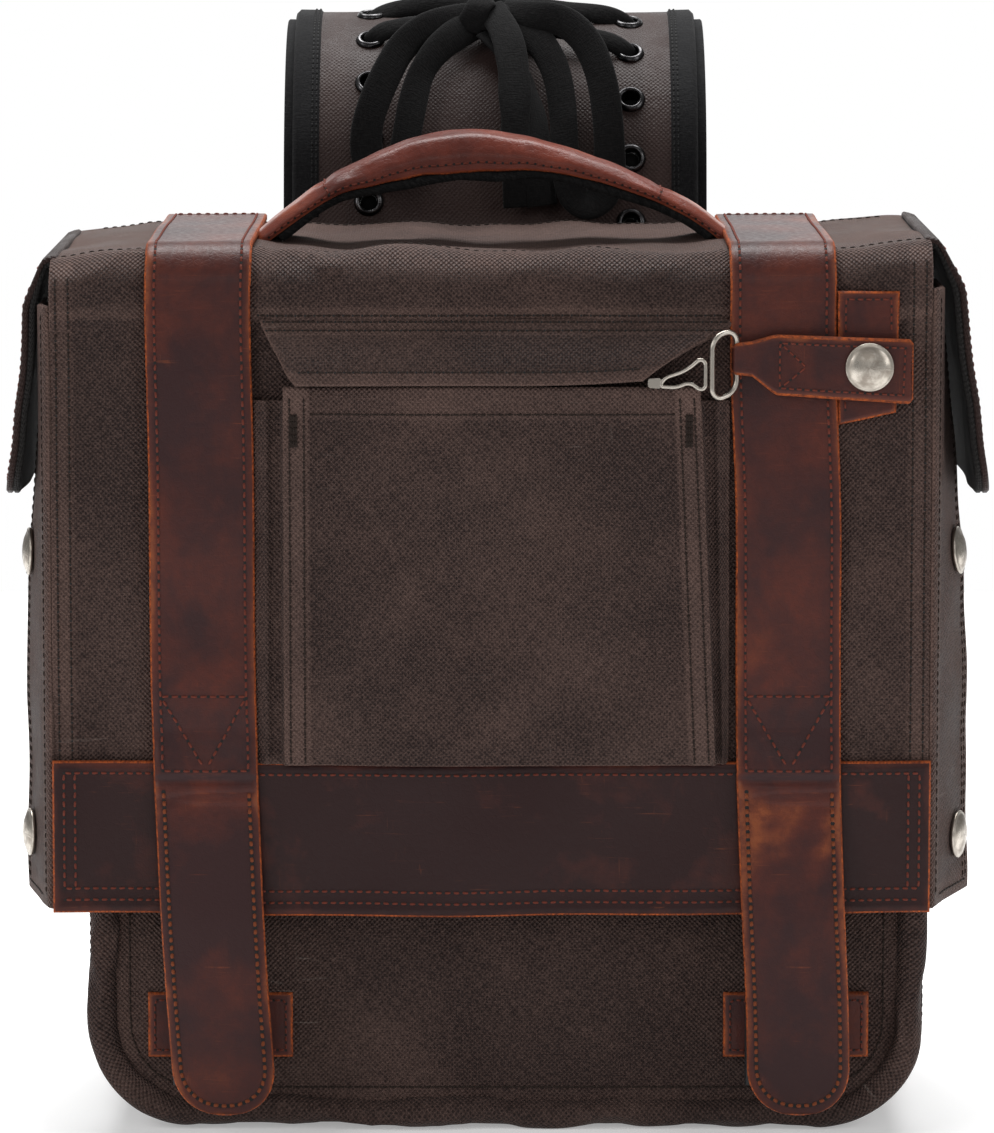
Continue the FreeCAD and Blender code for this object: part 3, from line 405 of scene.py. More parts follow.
def curve_points(route, count):
    """Points along a smooth open curve with the route's points as its control points."""
    curve = bpy.data.curves.new("route", "CURVE")
    curve.dimensions = "3D"
    spline = curve.splines.new("NURBS")
    spline.points.add(len(route) - 1)
    for point, place in zip(spline.points, route):
        point.co = (*spot(*place), 1)
    spline.order_u = 3
    spline.use_endpoint_u = True
    spline.resolution_u = 24
    holder = bpy.data.objects.new("route", curve)
    mesh = bpy.data.meshes.new_from_object(holder)
    found = millimetres(mesh.vertices)
    bpy.data.objects.remove(holder)
    bpy.data.curves.remove(curve)
    bpy.data.meshes.remove(mesh)
    far = np.concatenate([[0], np.cumsum(np.linalg.norm(np.diff(found, axis=0), axis=1))])
    marks = np.linspace(0, far[-1], count)
    return np.stack([np.interp(marks, far, found[:, axis]) for axis in range(3)], -1), float(far[-1])


# ---------------------------------------------------------------- materials

class Paint:
    """A node material that is built up from maps of the pieces' own coordinates, in metres."""

    def __init__(self, name, **sockets):
        self.material = bpy.data.materials.new(name)
        self.material.use_nodes = True
        self.tree = self.material.node_tree
        self.shader = self.tree.nodes["Principled BSDF"]
        for socket, value in sockets.items():
            self.shader.inputs[socket.replace("_", " ")].default_value = value
        self.last_bump = None

    def node(self, kind, inputs, **settings):
        node = self.tree.nodes.new("ShaderNode" + kind)
        for key, value in settings.items():
            setattr(node, key, value)
        for key, value in inputs.items():
            if isinstance(value, bpy.types.NodeSocket):
                self.tree.links.new(value, node.inputs[key])
            else:
                node.inputs[key].default_value = value
        return node

    def cloth_map(self, across, along, turn=0.0):
        """UV coordinates stretched by a number of features per metre each way."""
        uv = self.node("TexCoord", {}).outputs["UV"]
        mapping = self.node("Mapping", {"Vector": uv, "Scale": (across, along, 1), "Rotation": (0, 0, turn)})
        return mapping.outputs["Vector"]

    def noise(self, vector, detail=2.0, rough=0.5, twist=0.0):
        node = self.node("TexNoise", {"Vector": vector, "Scale": 1.0, "Detail": detail, "Roughness": rough,
                                      "Distortion": twist})
        return node.outputs["Fac"]

    def level(self, value, low, high, to_low=0.0, to_high=1.0):
        node = self.node("MapRange", {"Value": value, "From Min": low, "From Max": high, "To Min": to_low,
                                      "To Max": to_high}, interpolation_type="SMOOTHSTEP")
        return node.outputs["Result"]

    def math(self, operation, first, second):
        return self.node("Math", {0: first, 1: second}, operation=operation).outputs[0]

    def thread_grid(self, pitch):
        """Over-and-under pattern of a plain weave at a pitch in millimetres, from -1 to 1."""
        parts = self.node("SeparateXYZ", {0: self.cloth_map(math.pi / (pitch * MM), math.pi / (pitch * MM))}).outputs
        over = self.node("Math", {0: parts["X"]}, operation="SINE").outputs[0]
        under = self.node("Math", {0: parts["Y"]}, operation="SINE").outputs[0]
        return self.math("MULTIPLY", over, under)

    # Reads the per-vertex attribute: wear, and on some pieces painted light (the lid's top sheen, the straps' crease
    # shade, the handle's highlight).
    def wear_and_painted_light(self):
        return self.node("Attribute", {}, attribute_name="wear_and_painted_light").outputs["Fac"]

    def mix(self, share, first, second):
        node = self.node("Mix", {0: share}, data_type="RGBA")
        for index, value in ((6, first), (7, second)):
            if isinstance(value, bpy.types.NodeSocket):
                self.tree.links.new(value, node.inputs[index])
            else:
                node.inputs[index].default_value = (*value, 1)
        return node.outputs[2]

    def bump(self, height, distance, strength=1.0):
        inputs = {"Height": height, "Distance": distance * MM, "Strength": strength}
        if self.last_bump is not None:
            inputs["Normal"] = self.last_bump
        self.last_bump = self.node("Bump", inputs).outputs["Normal"]
        self.tree.links.new(self.last_bump, self.shader.inputs["Normal"])

    def set(self, socket, value):
        self.tree.links.new(value, self.shader.inputs[socket])


def canvas_paint(name, dark, light, chalk, shine=0.62, scuffed=0.5, threads=1.0):
    """Plain-weave canvas: slubby threads, wax blotches, chalky rubs and paler worn hems."""
    paint = Paint(name, Sheen_Weight=0.02, Sheen_Roughness=0.5, Specular_IOR_Level=0.18)
    grid = paint.math("MULTIPLY", paint.thread_grid(0.92), threads)
    warp = paint.noise(paint.cloth_map(1700, 300), 2, 0.6)
    weft = paint.noise(paint.cloth_map(300, 1700), 2, 0.6)
    weave = paint.math("ADD", warp, weft)
    blotch = paint.noise(paint.cloth_map(26, 26), 4, 0.65)
    broad = paint.noise(paint.cloth_map(8, 8), 3, 0.5)
    crush = paint.noise(paint.cloth_map(60, 60), 3, 0.6, 0.6)
    pale = paint.level(paint.math("ADD", blotch, broad), 0.78, 1.3)
    thread = paint.math("ADD", paint.level(weave, 0.75, 1.25), paint.math("MULTIPLY", grid, 0.60))
    thread = paint.math("MULTIPLY", paint.math("SUBTRACT", thread, 0.5), 0.40 * threads)
    tone = paint.math("ADD", paint.math("ADD", thread, 0.26), paint.math("MULTIPLY", pale, 0.28))
    # The attribute lightens worn hems and rubs; on the lid's top it also paints the sheen of the light from above.
    tone = paint.math("ADD", tone, paint.math("MULTIPLY", paint.wear_and_painted_light(), 0.62))
    tone = paint.math("SUBTRACT", tone, 0.08)
    tone.node.use_clamp = True
    base = paint.mix(tone, dark, light)
    scratch = paint.level(paint.noise(paint.cloth_map(22, 330, 0.7), 4, 0.6, 1.0), 0.63, 0.72)
    other = paint.level(paint.noise(paint.cloth_map(300, 26, 0.35), 4, 0.6, 1.0), 0.66, 0.74)
    scratch = paint.math("MAXIMUM", scratch, other)
    rubs = paint.math("MULTIPLY", scratch, paint.level(paint.noise(paint.cloth_map(11, 11), 2), 0.5, 0.7))
    rubs = paint.math("MULTIPLY", rubs, scuffed)
    paint.set("Base Color", paint.mix(rubs, base, chalk))
    paint.set("Roughness", paint.level(blotch, 0.3, 0.7, shine - 0.1, shine + 0.14))
    paint.bump(broad, 4.0, 0.4)
    paint.bump(crush, 1.2, 0.35)
    paint.bump(paint.math("ADD", weave, grid), 0.45 * threads, 1.0)
    return paint.material


def leather_paint(name, dark, middle, worn, shine=0.40):
    """Oiled pull-up leather: smooth and dark, redder where it is handled, with fine grain and hair scratches."""
    paint = Paint(name, Specular_IOR_Level=0.17, Coat_Weight=0.05, Coat_Roughness=0.25)
    cloud = paint.noise(paint.cloth_map(34, 24), 4, 0.6, 0.4)
    broad = paint.noise(paint.cloth_map(11, 8), 3, 0.55)
    mottle = paint.noise(paint.cloth_map(420, 420), 3, 0.6)
    fleck = paint.noise(paint.cloth_map(130, 130), 4, 0.7)
    pull = paint.level(paint.math("ADD", cloud, broad), 0.90, 1.20, 0.0, 0.55)
    # The attribute reddens handled, worn places; it also paints shade along the straps' crease and a highlight along
    # the top of the handle.
    pull = paint.math("ADD", pull, paint.wear_and_painted_light())
    pull = paint.math("ADD", pull, paint.level(fleck, 0.35, 0.7, -0.1, 0.14))
    pull = paint.math("MULTIPLY", pull, paint.level(mottle, 0.25, 0.75, 0.8, 1.12))
    pull.node.use_clamp = True
    colour = paint.mix(pull, dark, middle)
    rub = paint.math("MULTIPLY", paint.level(paint.wear_and_painted_light(), 0.42, 1.0), paint.level(fleck, 0.35, 0.62, 0.25, 1.0))
    colour = paint.mix(rub, colour, worn)
    hair = paint.noise(paint.cloth_map(40, 1100, 0.5), 3, 0.6, 0.8)
    nick = paint.noise(paint.cloth_map(900, 60, 0.3), 3, 0.6, 0.8)
    scratch = paint.math("MAXIMUM", paint.level(hair, 0.62, 0.70, 0.0, 0.6), paint.level(nick, 0.66, 0.74, 0.0, 0.4))
    where = paint.math("ADD", paint.level(cloud, 0.5, 0.62, 0.0, 0.7), paint.level(paint.wear_and_painted_light(), 0.2, 0.7, 0.0, 0.6))
    colour = paint.mix(paint.math("MULTIPLY", scratch, where), colour, worn)
    paint.set("Base Color", colour)
    paint.set("Roughness", paint.level(mottle, 0.3, 0.7, shine - 0.04, shine + 0.10))
    crease = paint.node("TexVoronoi", {"Vector": paint.cloth_map(520, 520), "Scale": 1.0, "Randomness": 1.0},
                        feature="DISTANCE_TO_EDGE").outputs["Distance"]
    paint.bump(cloud, 2.0, 0.3)
    paint.bump(paint.level(crease, 0.0, 0.14), 0.07, 0.5)
    paint.bump(mottle, 0.12, 0.5)
    return paint.material


def edge_paint(name, dark, light):
    """Raw cut edge of leather: fibrous and burnt orange."""
    paint = Paint(name, Specular_IOR_Level=0.3)
    fibre = paint.noise(paint.cloth_map(900, 500), 3, 0.7)
    patch = paint.noise(paint.cloth_map(60, 60), 2, 0.6)
    share = paint.math("MULTIPLY", paint.level(fibre, 0.3, 0.7), paint.level(patch, 0.25, 0.6, 0.35, 1.0))
    paint.set("Base Color", paint.mix(share, dark, light))
    paint.set("Roughness", paint.level(fibre, 0.3, 0.7, 0.62, 0.85))
    paint.bump(fibre, 0.4, 0.8)
    return paint.material


def weave_paint(name, dark, light, across=700, along=160, rough=0.85, relief=0.5):
    """Woven tape, webbing or thread."""
    paint = Paint(name, Sheen_Weight=0.04, Sheen_Roughness=0.5, Specular_IOR_Level=0.12)
    rib = paint.noise(paint.cloth_map(across, along), 2, 0.6)
    cross = paint.noise(paint.cloth_map(along, across), 2, 0.6)
    both = paint.math("ADD", rib, cross)
    lint = paint.noise(paint.cloth_map(40, 40), 3, 0.6)
    share = paint.math("MULTIPLY", paint.level(both, 0.8, 1.25), paint.level(lint, 0.3, 0.75, 0.45, 1.0))
    paint.set("Base Color", paint.mix(share, dark, light))
    paint.set("Roughness", paint.level(lint, 0.3, 0.7, rough - 0.08, rough + 0.08))
    paint.bump(both, relief, 0.8)
    return paint.material


def metal_paint(name, colour, tarnish, rough, metallic=1.0):
    """Plated metal with dull and brighter patches and fine scratches."""
    paint = Paint(name, Metallic=metallic)
    patch = paint.noise(paint.cloth_map(160, 160), 4, 0.65)
    hair = paint.noise(paint.cloth_map(2200, 200), 2, 0.5)
    paint.set("Base Color", paint.mix(paint.level(patch, 0.35, 0.68), tarnish, colour))
    paint.set("Roughness", paint.level(patch, 0.3, 0.7, rough + 0.14, rough - 0.06))
    paint.bump(hair, 0.03, 0.3)
    return paint.material


CANVAS = canvas_paint("canvas", (0.0185, 0.0098, 0.0088), (0.142, 0.087, 0.072), (0.27, 0.22, 0.195))
YOKE_CLOTH = canvas_paint("yoke_cloth", (0.0205, 0.0108, 0.0094), (0.048, 0.028, 0.024), (0.08, 0.06, 0.052), 0.5, 0.12, 0.4)
EAR_CLOTH = canvas_paint("ear_cloth", (0.0112, 0.0052, 0.0046), (0.034, 0.018, 0.0155), (0.07, 0.05, 0.042), 0.5, 0.12, 0.7)
LINING = canvas_paint("lining", (0.008, 0.0075, 0.0075), (0.020, 0.018, 0.017), (0.04, 0.04, 0.04), 0.75, 0.1)
LEATHER = leather_paint("leather", (0.0315, 0.0122, 0.0124), (0.090, 0.0205, 0.0125), (0.195, 0.052, 0.0185))
LEATHER_BAND = leather_paint("leather_band", (0.0195, 0.0062, 0.0060), (0.080, 0.0185, 0.0118), (0.180, 0.048, 0.0175))
LEATHER_GRIP = leather_paint("leather_grip", (0.075, 0.0175, 0.0125), (0.170, 0.036, 0.021), (0.27, 0.07, 0.03), 0.32)
RAW_EDGE = edge_paint("leather_edge", (0.09, 0.017, 0.006), (0.44, 0.092, 0.017))
FLESH = edge_paint("leather_back", (0.10, 0.035, 0.018), (0.22, 0.085, 0.04))
TAPE = weave_paint("tape", (0.0055, 0.0055, 0.0062), (0.0125, 0.0122, 0.0130), 1300, 500, 0.85, 0.25)
WEBBING = weave_paint("web", (0.004, 0.004, 0.0042), (0.013, 0.0125, 0.0125), 700, 700, 0.85, 0.5)
LACE = weave_paint("lace", (0.0036, 0.0034, 0.0036), (0.0095, 0.0090, 0.0090), 1500, 420, 0.9, 0.3)
THREAD = weave_paint("thread_brown", (0.070, 0.018, 0.013), (0.29, 0.066, 0.038), 900, 900, 0.7, 0.15)
THREAD_DARK = weave_paint("thread_dark", (0.012, 0.008, 0.007), (0.035, 0.022, 0.017), 900, 900, 0.7, 0.15)
THREAD_CLOTH = weave_paint("thread_cloth", (0.010, 0.007, 0.006), (0.045, 0.028, 0.021), 900, 900, 0.75, 0.15)
THREAD_BEAD = weave_paint("thread_bead", (0.11, 0.028, 0.012), (0.34, 0.090, 0.030), 900, 900, 0.6, 0.15)
THREAD_BLACK = weave_paint("thread_black", (0.004, 0.004, 0.004), (0.02, 0.02, 0.02), 900, 900, 0.7, 0.15)
NICKEL = metal_paint("nickel", (0.62, 0.57, 0.50), (0.30, 0.26, 0.22), 0.30)
EYELET = metal_paint("eyelet", (0.09, 0.088, 0.09), (0.018, 0.017, 0.018), 0.24)
WIRE = metal_paint("wire", (0.60, 0.56, 0.50), (0.34, 0.30, 0.26), 0.26)
PLASTIC = metal_paint("plastic", (0.006, 0.006, 0.0065), (0.003, 0.003, 0.0033), 0.5, 0.0)
BOARD = metal_paint("board", (0.05, 0.05, 0.05), (0.035, 0.035, 0.035), 0.7, 0.0)
# Painted shade: near-black, for the shade in needle holes and in the eyelets' bores.
PAINTED_HOLE_SHADE = metal_paint("painted_hole_shade", (0.003, 0.003, 0.003), (0.003, 0.003, 0.003), 0.8, 0.0)
LEATHER_SET = (LEATHER, RAW_EDGE, FLESH)
CANVAS_SET = (CANVAS, CANVAS, CANVAS)

# ---------------------------------------------------------------- lid

LID = Path([(-79, 78), (-79, 319.5, 13), (70, 319.5)])
LID_FRONT_TOP = 319.5 - 78
STRAP_MIDS = (-105.0, 105.5)


def corner_shift(x, z):
    """The lid's left front corner droops and its right one stands up a little."""
    share = smooth(z, 225, 316)
    return share * (3.6 * smooth(x, 124, 160) - 3.2 * smooth(-x, 122, 160))


def strap_calm(x):
    """0 under the straps, where they hold the canvas flat, and 1 away from them."""
    return np.minimum(*[smooth(np.abs(x - middle), 15, 30) for middle in STRAP_MIDS])


# Folds pressed into the canvas by the straps: ends (x, distance up the lid), half width and height.
LID_FOLDS = [((-86, 252), (-58, 238), 5.0, 2.2), ((-86, 240), (-66, 262), 4.0, -1.4), ((-58, 238), (-36, 244), 5.0, 1.3),
             ((84, 246), (60, 237), 5.0, 1.6), ((10, 236), (34, 246), 6.0, 1.1), ((-84, 226), (-70, 212), 4.0, 0.9),
             ((125, 244), (146, 236), 5.0, 1.2), ((-126, 246), (-150, 234), 5.0, 1.4)]


def pressed_folds(a, b):
    height = 0 * a + 0 * b
    for (a0, b0), (a1, b1), half, rise in LID_FOLDS:
        run, climb = a1 - a0, b1 - b0
        share = np.clip(((a - a0) * run + (b - b0) * climb) / (run ** 2 + climb ** 2), 0, 1)
        off = np.hypot(a - a0 - run * share, b - b0 - climb * share)
        height = height + rise * np.exp(-(off / half) ** 2 * 1.6)
    return height


def lid_face(a, b):
    y, z = LID.at(b)
    top = smooth(b, LID_FRONT_TOP - 6, LID_FRONT_TOP + 12)
    front = 1 - top
    calm = strap_calm(a)
    where = stack(a, b * 0.8, 0 * a)
    folds = waves(where, 70, 3) * 1.0 + waves(where * np.array([1.6, 0.7, 1]), 34, 5) * 0.5
    puff = calm * (folds * (1.0 + 0.4 * top) + 0.8 * front) + pressed_folds(a, b) * (0.3 + 0.7 * calm)
    seam = 0.9 * smooth(z, 293.5, 295.0) * front * calm
    sag = top * (-3.0 * hump(a, 0, 95) * smooth(y, -60, -20) * (1 - smooth(y, 30, 68)))
    out = puff + seam
    corner = smooth(b, LID_FRONT_TOP - 14, LID_FRONT_TOP + 6) * (1 - smooth(b, LID_FRONT_TOP + 6, LID_FRONT_TOP + 40))
    out = out - 1.6 * corner * hump(a, -62, 30) + 1.2 * corner * hump(a, -40, 26) - 1.3 * corner * hump(a, 70, 22)
    point = stack(a, y - out * front, z + out * top + sag + corner_shift(a, z))
    return point


def canvas_wear(edge=7.0, strength=0.5):
    """Paler cloth within an edge's hem."""
    def worn(a, b, near, face):
        return strength * (1 - smooth(near, edge - 1, edge + 0.6)) + 0.12 * smooth(near, 3, 0)
    return worn


def lid_wear_and_top_sheen(a, b, near, face):
    front = b < LID_FRONT_TOP
    hem = 0.45 * (1 - smooth(np.abs(np.abs(a) - 156), 3, 5)) * front
    seam = 0.42 * (smooth(face[..., 2], 294.5, 295.5) * (1 - smooth(face[..., 2], 299, 300.5))) * front
    # Painted sheen: the lid's top is made paler, for the light from above falling on it.
    top = 0.42 * smooth(b, LID_FRONT_TOP - 4, LID_FRONT_TOP + 9)
    crest = 0.15 * hump(b, LID_FRONT_TOP - 4, 8)
    return hem + seam + top + crest


rows = np.concatenate([spread(0, 210, 4.0), spread(213, 222, 1.0), spread(225, 252, 1.6), spread(255, LID.length, 4.0)])
lid_bend = ("body", "lid", (0, 70, 318), (0, 52, 318))
lid = slab_mesh("lid_canvas", lid_face, rows, band_of(-159.5, 159.5), 150, 2.8, wear_and_painted_light=lid_wear_and_top_sheen)
finish_piece(lid, "waxed_canvas", None, CANVAS_SET, ("lid_top_panel", "lid_front_panel"), lid_bend)
seam_lines = []
for side in (-1, 1):
    seam_lines += [[(side * 157.2, 56), (side * 157.2, 236)], [(side * 152.6, 56), (side * 152.6, 236)]]
seam_lines += [[(-84, 218.6), (84, 218.6)], [(-157, 254), (157, 254)], [(-150, LID.length - 4), (150, LID.length - 4)]]
lid_thread = stitch_mesh("lid_seams", above(lid_face, 0.05), seam_lines, pitch=3.4, radius=0.36)
finish_piece(lid_thread, "waxed_canvas", None, (THREAD_CLOTH, PAINTED_HOLE_SHADE), (), lid_bend)


def band_face(a, b):
    drop = 1.6 * hump(a, 0, 150) + 0.5 * waves(stack(a, 0 * a, 0 * a), 90, 11)
    bulge = 0.5 * waves(stack(a, b, 0 * a), 60, 12) * strap_calm(a) + 0.7 * strap_calm(a)
    return stack(a, -82.0 - bulge - 0.6 * hump(b, 78, 6), b - drop * (1 - 0.5 * smooth(b, 80, 132)))


def leather_wear(scale=26.0, seed=21, edge=2.4, base=0.0):
    """Worn towards the edges, and in soft patches."""
    def worn(a, b, near, face):
        patches = np.clip(waves(face, scale, seed) * 0.5 + 0.15, 0, 0.6)
        return np.clip(base + patches * 0.6 + 0.55 * np.exp(-near / (0.45 * edge)), -0.5, 1)
    return worn


band = slab_mesh("lid_band_leather", band_face, spread(78, 134, 3.0), band_of(-159.8, 160.2), 130, 3.0,
                 wear_and_painted_light=leather_wear(38, 22, 2.6, -0.42))
finish_piece(band, "oiled_leather", "lid", (LEATHER_BAND, RAW_EDGE, FLESH), ("lid_band",))
band_lines = [[(-155.5, 129.6), (156, 129.6)], [(-155.5, 82.8), (156, 82.8)], [(-155.5, 87.0), (156, 87.0)],
              [(-155.5, 87), (-155.5, 129.6)], [(-151.5, 87), (-151.5, 129.6)],
              [(156, 87), (156, 129.6)], [(152, 87), (152, 129.6)]]
band_thread = stitch_mesh("lid_band_seams", above(band_face, 0.05), band_lines, pitch=3.2, radius=0.5)
finish_piece(band_thread, "oiled_leather", "lid", (THREAD, PAINTED_HOLE_SHADE))

# ---------------------------------------------------------------- straps, from the tails' tips up and over

STRAP = Path([(-96.2, 5.6), (-91.2, 77, 90), (-85.9, 125, 30), (-85.2, 134.8, 8), (-82.1, 143.8, 6),
              (-82.1, 322.6, 15.5), (70, 322.6)])
STRAP_Z = np.array([5.6, 46, 126.5, 160, 322.6])
STRAP_LINE = {
    "left": np.array([-96.9, -99.6, -103.8, -104.6, -105.6]),
    "right": np.array([112.2, 111.2, 108.3, 108.0, 105.3]),
}
STRAP_HALF = np.array([18.8, 18.9, 19.1, 19.2, 19.2])
CREASE = STRAP.where(1, 127.5)
STITCH_FOOT = STRAP.where(1, 131)
STITCH_CROSS = STRAP.where(1, 158)
TIP = 17.5


def strap_face(side):
    line = STRAP_LINE[side]

    def face(a, b):
        y, z = STRAP.at(b)
        middle = np.interp(z, STRAP_Z, line)
        half = np.interp(z, STRAP_Z, STRAP_HALF)
        sway = 0.5 * waves(stack(0 * b, b, 0 * b), 90, 31 if side == "left" else 32)
        upper = smooth(b, CREASE + 6, CREASE + 20)
        front = 1 - smooth(b, STRAP.where(1, 300), STRAP.where(1, 318))
        held = 1 - 0.8 * hump(z, 274, 46) if side == "right" else 1.0
        crown = 0.7 * (1 - (a / 19.2) ** 2) * front * held
        ripple = 0.6 * waves(stack(a, b, 0 * b), 55, 33 if side == "left" else 34) * upper * front * held
        cup = 1.1 * (a / 19.2) ** 2 * (1 - upper) * (1 - 0.5 * hump(b, CREASE, 12))
        crease = -1.0 * hump(b, CREASE, 2.6) * (1 - 0.3 * (a / 19.2) ** 2)
        bow = 1.2 * waves(stack(a, 0 * b, 0 * a), 24, 36)
        crease = crease - 0.35 * hump(b, CREASE - 5 + bow, 1.6) - 0.28 * hump(b, CREASE - 9 - bow, 1.5)
        top = smooth(b, STRAP.where(1, 316), STRAP.where(1, 320) + 12)
        out = (crown + ripple + crease - cup) * (1 - top)
        lift = top * 0.35 * waves(stack(a, b, 0 * b), 60, 35)
        return stack(middle + a * half / 19.2 + sway * front, y - out, z + lift)
    return face


def tip_limits(half, length, power=2.25, blunt=1.6):
    """Limits of a tongue whose first end is round over a length."""
    def limits(rows):
        share = np.clip(1 - (rows - rows[0]) / length, 0, 1)
        width = np.maximum(half * (1 - share ** power) ** (1 / power), blunt)
        return -width, width
    return limits


def tip_line(inset, end, half=19.2, length=TIP, power=2.25):
    """Stitch line that runs up both edges of a tongue and round its tip."""
    shrink = half - inset
    reach = length - inset * 0.9
    share = np.linspace(0, 1, 26)
    angle = share * math.pi / 2
    low = inset + reach * (1 - np.cos(angle) ** (2 / power))
    wide = shrink * np.sin(angle) ** (2 / power)
    right = list(zip(wide, low)) + [(shrink, end)]
    left = [(-x, z) for x, z in right[::-1]]
    return left[:-1] + right


def strap_wear_and_crease_shade(side):
    """Rubbed pale below the crease, most on the right, and dark along the middle of the tails; the crease line itself
    is darkened as painted shade.
    """
    def worn(a, b, near, face):
        z = face[..., 2]
        patches = np.clip(waves(face * np.array([1, 1, 0.55]), 42, 41 if side == "left" else 43) * 0.34 + 0.05, -0.2, 0.5)
        mottled = 0.75 + 0.5 * waves(face, 9, 45)
        if side == "left":
            bend = 0.45 * hump(z, 121, 10) * mottled + 0.42 * hump(z, 50, 20) * mottled + 0.30 * hump(z, 20, 12)
            bend = bend - 0.30 * hump(z, 86, 26) + 0.18 * hump(z, 292, 40) - 0.12 * hump(z, 215, 60)
        else:
            bend = 0.92 * hump(z, 107, 24) * mottled + 0.34 * hump(z, 80, 24) * mottled + 0.22 * hump(z, 34, 14)
            bend = bend - 0.02 * hump(z, 58, 24) + 0.20 * hump(z, 285, 30) - 0.10 * hump(z, 245, 40)
        bend = bend + 0.40 * hump(z, 166, 26) * mottled * smooth(np.abs(a), 19, 6) + 0.10 * (z > 311)
        # Painted shade: darker along the crease where the strap folds down.
        fold = -0.5 * hump(z, 128.5, 2.2)
        edge = 0.5 * np.exp(-near / 0.9) + 0.16 * np.exp(-near / 4.0)
        return np.clip(patches + bend + edge + fold, -0.5, 1)
    return worn


STRAP_ROWS = np.concatenate([np.linspace(0, 5, 8), spread(6, CREASE - 14, 2.6), spread(CREASE - 12, CREASE + 6, 0.8),
                             spread(CREASE + 8, STRAP.length, 3.0)])
BACK_LINE = {"left": (-105.0, 18.0), "right": (105.5, 18.0)}
for side in ("left", "right"):
    face = strap_face(side)
    sign = -1 if side == "left" else 1
    hinge_x = -103.6 if side == "left" else 108.0
    strap_bend = ("lid", f"tail_{side}", (hinge_x, -86, 131), (hinge_x, -86, 119))
    strap = slab_mesh(f"strap_{side}", face, STRAP_ROWS, tip_limits(19.2, TIP), 18, 3.0, wear_and_painted_light=strap_wear_and_crease_shade(side))
    finish_piece(strap, "oiled_leather", None, LEATHER_SET, (f"strap_upper_{side}", f"strap_tail_{side}"), strap_bend)
    upper_lines = [[(-15.6, STITCH_FOOT), (-15.6, STRAP.length - 3)], [(15.6, STITCH_FOOT), (15.6, STRAP.length - 3)],
                   [(-15.6, STITCH_FOOT), (15.6, STITCH_FOOT)], [(-15.6, STITCH_CROSS), (15.6, STITCH_CROSS)],
                   [(-15.0, STITCH_CROSS - 1), (-1.0, STITCH_FOOT + 2)], [(15.0, STITCH_CROSS - 1), (1.0, STITCH_FOOT + 2)],
                   [(-15.6, STRAP.length - 4), (15.6, STRAP.length - 4)]]
    thread = stitch_mesh(f"strap_seams_{side}", above(face, 0.02), upper_lines, pitch=3.3, radius=0.5)
    finish_piece(thread, "oiled_leather", "lid", (THREAD, PAINTED_HOLE_SHADE))
    beads = stitch_mesh(f"tail_seams_{side}", above(face, 0.02), [tip_line(3.6, CREASE - 4)], pitch=2.9, radius=0.7)
    finish_piece(beads, "oiled_leather", None, (THREAD_BEAD, PAINTED_HOLE_SHADE), (), strap_bend)

# ---------------------------------------------------------------- front pocket and its flap

POCKET_LOW, POCKET_MOUTH = 133.0, 271.5


def pocket_limits(rows):
    share = (rows - POCKET_LOW) / (POCKET_MOUTH - POCKET_LOW)
    return np.full(len(rows), -75.0), 81.5 - 6.0 * share


def pocket_face(a, b):
    share = np.clip((b - POCKET_LOW) / (POCKET_MOUTH - POCKET_LOW), -0.2, 1.2)
    right = 81.5 - 6.0 * share
    near = np.minimum(a + 75, right - a)
    where = stack(a, b, 0 * a)
    puff = 1.7 * smooth(near, 5, 38) * (1 - 0.4 * share) + 0.9 * waves(where, 60, 51) * smooth(near, 3, 20)
    hem = 0.7 * (1 - smooth(near, 8.6, 9.6)) + 0.6 * smooth(b, 259, 260.2)
    foot = 1.2 * (1 - smooth(b, 134, 140))
    return stack(a, -86.9 - puff - hem + foot, b)


def pocket_wear(a, b, near, face):
    side = np.minimum(a + 75, pocket_limits(np.atleast_1d(b[:, 0]))[1][:, None] - a)
    hem = 0.55 * (1 - smooth(side, 8.2, 9.6))
    mouth = 0.35 * smooth(b, 259, 261)
    along_rub = np.clip(((a + 50) * 26 - (b - 233) * 42) / (26 ** 2 + 42 ** 2), 0, 1)
    bow = 2.6 * np.sin(along_rub * math.pi * 1.6)
    off = np.hypot(a + 50 - 26 * along_rub - bow, b - 233 + 42 * along_rub)
    rub = 0.62 * np.exp(-(off / 1.3) ** 2) * np.clip(0.65 + 0.6 * waves(face, 9, 54), 0, 1)
    return hem + mouth + 0.14 * np.clip(waves(face, 40, 53), 0, 1) + rub


pocket = slab_mesh("pocket_canvas", pocket_face, spread(POCKET_LOW, POCKET_MOUTH, 1.4), pocket_limits, 112, 2.4,
                   wear_and_painted_light=pocket_wear)
finish_piece(pocket, "waxed_canvas", "lid", CANVAS_SET, ("pocket_panel",))
pocket_lines = [[(-72.6, 134), (-72.6, 268)], [(-67.4, 134), (-67.4, 268)],
                [(79.2, 134), (73.2, 268)], [(74.0, 134), (68.0, 268)], [(-66, 261.5), (67, 261.5)]]
pocket_thread = stitch_mesh("pocket_seams", above(pocket_face, 0.05), pocket_lines, pitch=3.2, radius=0.36)
bars = stitch_mesh("pocket_bars", above(pocket_face, 0.2),
                   [[(-72 + k, 250), (-72 + k, 262)] for k in (0.0, 0.9, 1.8)]
                   + [[(70.6 + k, 250), (70.6 + k, 262)] for k in (0.0, 0.9, 1.8)], pitch=2.2, radius=0.5)
finish_piece(joined("pocket_seams", [pocket_thread, bars]), "waxed_canvas", "lid", (THREAD_CLOTH, PAINTED_HOLE_SHADE))


